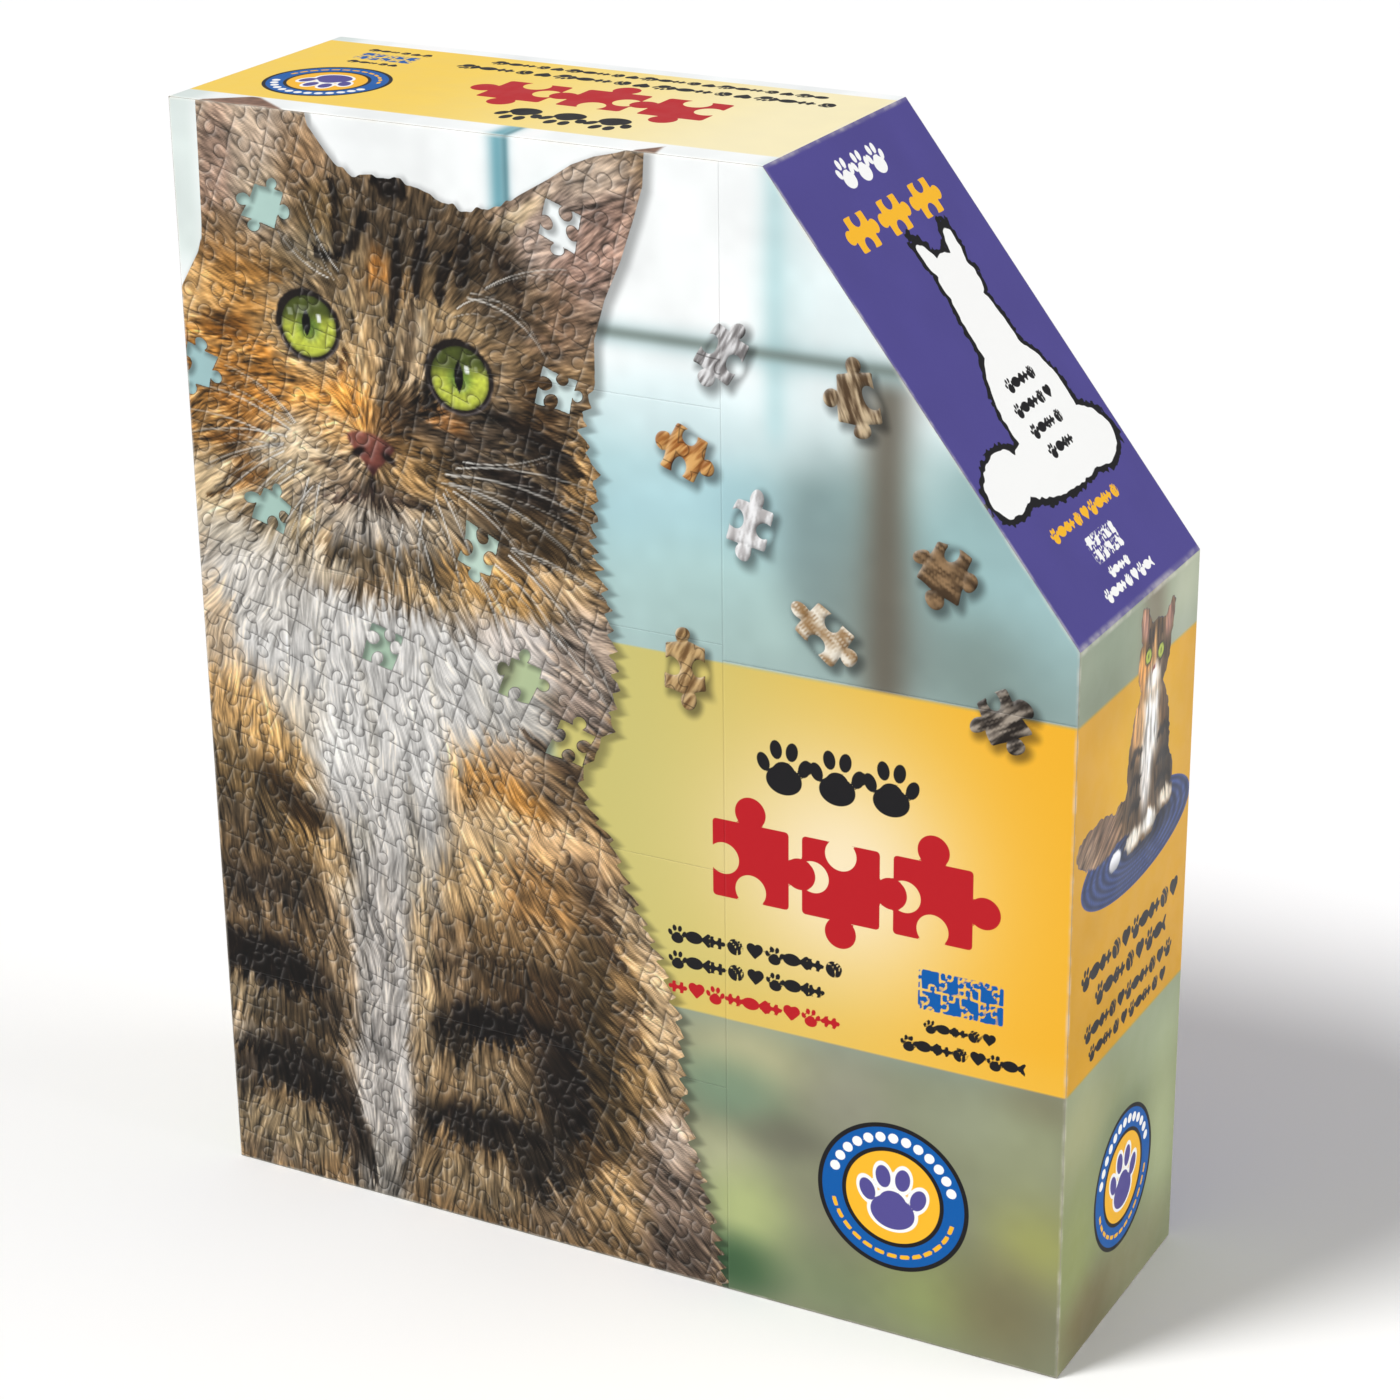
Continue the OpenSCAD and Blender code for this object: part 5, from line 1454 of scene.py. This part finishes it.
def small_cat(u, z):
    """Colour and depth of the small cat, its mat and its toy mouse."""
    mat = oval(u, z, 40, 127.5, 35, 11)
    ring = np.hypot((u - 40) / 35, (z - 127.5) / 11)
    angle = np.arctan2((z - 127.5) / 11, (u - 40) / 35)
    colour = np.ones(u.shape + (3,)) * np.array((50, 66, 112)) / 255
    braid = 0.5 + 0.5 * np.cos(ring * 2 * np.pi * 9)
    twist = 0.5 + 0.5 * np.sin(angle * 110 * np.maximum(ring, 0.15) + ring * 2 * np.pi * 9)
    colour *= (0.72 + 0.34 * braid + 0.30 * twist * braid)[..., None]
    colour *= (1 - 0.5 * smooth(-1, 3, oval(u, z, 46, 129, 20, 6)))[..., None]
    body = np.maximum.reduce([
        oval(u, z, 45.5, 147, 13.5, 21), oval(u, z, 46, 138, 16, 10), oval(u, z, 47, 172.5, 10.4, 9.6),
        oval(u, z, 41, 180.5, 3.2, 7, 14), oval(u, z, 55.8, 177.5, 3.0, 7, -24), oval(u, z, 37.5, 129, 5.2, 3),
        oval(u, z, 47, 129.8, 5.2, 3), oval(u, z, 57.5, 132.4, 5.4, 2.8), oval(u, z, 16, 137, 14.5, 5.6, -6),
        oval(u, z, 29, 137, 6, 5)])
    body = body + 0.45 * noise(u, z, 1.1, 411)
    fall = np.full(u.shape, -1.0)
    side = np.where(u < 30, -1.4, 0.15 * (u - 46) / 8)
    length = np.hypot(side, fall)
    hair = strands(u, z, side / length, fall / length, 0.55, 3.0, 412)
    fur_here = np.ones(u.shape + (3,)) * np.array((120, 94, 66)) / 255
    su, sz = u + 0.5 * hair * side, z - 0.6 * hair
    for spot, tint in SMALL_COAT:
        blot(fur_here, su, sz, spot, tint)
    for low in (136, 142, 149):
        stripe(fur_here, su, sz, bend((34, low), (41, low + 1.5), 1.2), 1.3, 0.5, (30, 24, 20), 0.85)
        stripe(fur_here, su, sz, bend((51, low + 1), (60, low + 2), 1.2), 1.3, 0.5, (28, 22, 18), 0.85)
    for left in (43.5, 46.0, 49.0, 51.5):
        stripe(fur_here, su, sz, [(left, 176), (left - 0.4, 181)], 0.6, 0.5, (34, 26, 20), 0.8)
    fur_here *= (1 + 0.20 * hair)[..., None]
    for cx, cz in ((42.9, 173.8), (51, 172.6)):
        for radius, tint in ((2.3, (30, 24, 20)), (1.75, (176, 190, 72)), (0.7, (12, 12, 10))):
            w = smooth(-0.25, 0.25, radius - np.hypot((u - cx) * (1.9 if radius < 1 else 1), z - cz))
            fur_here += w[..., None] * (np.array(tint) / 255 - fur_here)
    colour += smooth(-0.2, 0.2, body)[..., None] * (fur_here - colour)
    mouse = oval(u, z, 26, 128, 3.6, 2.4, 8)
    shade = 1 + 0.12 * (z - 128)[..., None]
    colour += smooth(-0.2, 0.2, mouse)[..., None] * (np.array((228, 228, 232)) / 255 * np.clip(shade, 0.6, 1.1) - colour)
    return np.clip(colour, 0, 1), np.maximum.reduce([mat, body, mouse])


def side_inks(u, z):
    """Rows of signs under the small cat, and the badge."""
    inks = {}
    for left, right, low, high in ((7, 70, 101, 107), (16, 61, 93.5, 99.5), (10, 67, 86, 91), (13, 64, 80, 84.5)):
        lay_ink(inks, "black", sign_row(u, z, left, right, low, high))
    badge(inks, u, z, 39.5, 36, 19)
    return inks


def wall(name, x, y, z, tone, inks, coat=None, edge=None):
    """One printed wall of the lid."""
    if coat is None:
        coat, edge = tone, np.full(x.shape, -9.0)
    lid_piece(clad(name, x, y, z, 0, LID_FRONT, LID_BACK, tone, inks, lid_wall_print, coat=coat, edge=edge,
                   cut=np.full(x.shape, 9.0)))


EVERY_SIDE = ("left", "right", "low", "high")
y, z = grid(LID_FRONT, LID_BACK, 0, BOX_H - CUT_DROP, 0.5, EVERY_SIDE)
coat, edge = small_cat(y - LID_FRONT, z)
wall("right_wall_print", np.full(y.shape, BOX_W / 2), y, z, side_scene(y - LID_FRONT, z), side_inks(y - LID_FRONT, z),
     coat, edge)
y, z = grid(LID_FRONT, LID_BACK, 0, BOX_H, 0.85, EVERY_SIDE)
y, z = y[:, ::-1], z[:, ::-1]
coat, edge = small_cat(LID_BACK - y, z)
wall("left_wall_print", np.full(y.shape, -BOX_W / 2), y, z, side_scene(LID_BACK - y, z), side_inks(LID_BACK - y, z),
     coat, edge)


# The lid's slanted wall, where the corner is cut off: plain violet with a white cat's outline, rimmed
# in black, and rows of signs above and below it.
def slant_art(u, v):
    """Violet ground, the sitting cat in white with a ragged black rim, and the signs."""
    tone = np.ones(u.shape + (3,)) * np.array((81, 74, 145)) / 255 * (1 + 0.02 * noise(u, v, 9, 421))[..., None]
    inks = {}
    cat = np.maximum.reduce([
        oval(u, v, 47.5, 84.5, 9.0, 7.8), oval(u, v, 41.3, 91.0, 2.8, 6.4, 16), oval(u, v, 53.8, 91.0, 2.8, 6.4, -16),
        oval(u, v, 46.5, 68, 9.5, 21, 2), oval(u, v, 45.5, 50, 17, 19), oval(u, v, 42, 38.5, 25, 8.5),
        oval(u, v, 59, 38, 12, 8, -8), oval(u, v, 14, 40, 11.5, 7, 14)])
    cat = cat + 0.35 * noise(u, v, 1.5, 422)
    lay_ink(inks, "white", cat)
    lay_ink(inks, "white", sign_row(u, v, 26, 50, 115, 123, (paw_sign,)))
    lay_ink(inks, "yellow", sign_row(u, v, 13, 64, 95.5 + 2.5, 113, (piece_sign,)))
    lay_ink(inks, "yellow", sign_row(u, v, 17, 57, 22, 26))
    lay_ink(inks, "white", count_sign(u, v, 29, 45, 12.5, 19.5))
    lay_ink(inks, "white", sign_row(u, v, 31, 43, 8, 11))
    lay_ink(inks, "white", sign_row(u, v, 23, 51, 3.8, 7.4))
    rim = cat + 1.5 + 0.7 * noise(u, v, 0.9, 423)
    words = np.full(u.shape, -9.0)
    for left, right, low, high in ((38, 54, 56, 60), (35, 56, 50, 54), (36, 54, 44, 48), (38, 52, 38, 42)):
        words = np.maximum(words, sign_row(u, v, left, right, low, high))
    return tone, inks, rim, words


slant_low, slant_high = outline(0)[2], outline(0)[3]
slant_length = np.hypot(*(slant_high - slant_low))
y, v = grid(LID_FRONT, LID_BACK, 0, slant_length, 0.5, EVERY_SIDE)
x = slant_low[0] + v / slant_length * (slant_high[0] - slant_low[0])
z = slant_low[1] + v / slant_length * (slant_high[1] - slant_low[1])
tone, inks, rim, words = slant_art(y - LID_FRONT, v)
inks["black"] = rim
inks["white"] = np.minimum(inks["white"], -words)
wall("slant_wall_print", x, y, z, tone, inks)


# The lid's top wall: the title band folded over the top, its signs upside down so that they face a
# reader behind the box, with the window scene in strips along the front and the back.
def top_art(x, v):
    """Warm yellow to cream ground between strips of the scene, with signs and the badge."""
    tone = window_scene(x, BOX_H + v * 0.4)
    side = smooth(40, 150, x)[..., None]
    ground = (1 - side) * np.array((250, 212, 92)) / 255 + side * np.array((252, 240, 196)) / 255
    band = smooth(8.3, 8.6, v) * (1 - smooth(70, 70.3, v))
    tone += band[..., None] * (ground - tone)
    for lean, cx in ((-0.05, 21), (0.3, 131)):
        ear = (1 - smooth(-0.6, 0.6, np.abs(x - cx - lean * v) - (12 - 1.4 * v if cx < 50 else 3 - 0.5 * v))) * (v < 8)
        tone += ear[..., None] * (np.array((132, 100, 84)) / 255 * (1 + 0.15 * noise(x, v, 1.0, 431))[..., None] - tone)
    inks = {}
    lay_ink(inks, "black", sign_row(x, v, 81, 117, 14, 26, (paw_sign,), 180))
    for left, right, low, high in ((46, 151, 56, 61), (52, 145, 63.3, 67.3), (18, 33, 50, 53), (16, 35, 63, 66)):
        lay_ink(inks, "black", sign_row(x, v, left, right, low, high, turn=180))
    red = np.full(x.shape, -9.0)
    for cx, knobs in ((76, (1, 1, -1, -1)), (98, (1, -1, -1, 1)), (120, (1, 1, -1, -1))):
        red = np.maximum(red, piece_sign(cx - x, 40.5 - v, 28, knobs))
    lay_ink(inks, "red", red)
    lay_ink(inks, "blue", count_sign(x, v, 17, 34, 54.5, 61.5))
    badge(inks, x, v, 26.5, 29.5, 16, 180)
    return tone, inks


x, y = grid(-BOX_W / 2, slant_high[0], LID_FRONT, LID_BACK, 0.5, EVERY_SIDE)
tone, inks = top_art(x + BOX_W / 2, y - LID_FRONT)
wall("top_wall_print", x, y, np.full(x.shape, BOX_H), tone, inks)


# The lid's bottom wall, which the box stands on: garden green with a yellow block of signs.
def bottom_art(x, v):
    """Blurred green from the foot of the scene, and a block of small signs."""
    tone = window_scene(x, 4 + 0.15 * v)
    inks = {}
    lay_ink(inks, "yellow", block(x, v, 120, 38, 70, 24, 3))
    lay_ink(inks, "red", sign_row(x, v, 66, 112, 44, 54, (piece_sign,)))
    for low, high in ((34, 38), (26, 30), (18, 22)):
        lay_ink(inks, "violet", sign_row(x, v, 60, 180, low, high))
    badge(inks, x, v, 214, 38, 16)
    return tone, inks


x, y = grid(-BOX_W / 2, BOX_W / 2, LID_FRONT, LID_BACK, 1.5, EVERY_SIDE)
x, y = x[::-1], y[::-1]
tone, inks = bottom_art(x + BOX_W / 2, y - LID_FRONT)
wall("bottom_wall_print", x, y, np.zeros(x.shape), tone, inks)


# The lid's rim: the same wrap folded over the board's edge and glued 15 mm down the inside, where
# the print runs on from the walls.
def wall_colour(x, z):
    """Colour of the print where it reaches the rim, by place on the outline."""
    colour = window_scene(x + BOX_W / 2, z)
    # Along the side walls the rim takes their colours, band yellow with its painted shade included.
    side = side_scene(np.full(x.shape, DEPTH), z)
    at_side = (np.abs(np.abs(x) - BOX_W / 2) < 3)[..., None]
    colour = np.where(at_side, side, colour)
    on_slant = (z > slant_low[1] + 0.5) & (x > slant_high[0] + 0.5)
    return np.where(on_slant[..., None], np.array((81, 74, 145)) / 255, colour)


lid_rim_print = printed_paper("lid_rim_print", ())
lid_piece(lining("lid_rim_turn_in", 0, LID_FRONT, LID_BACK, False, wall_colour, lid_rim_print))
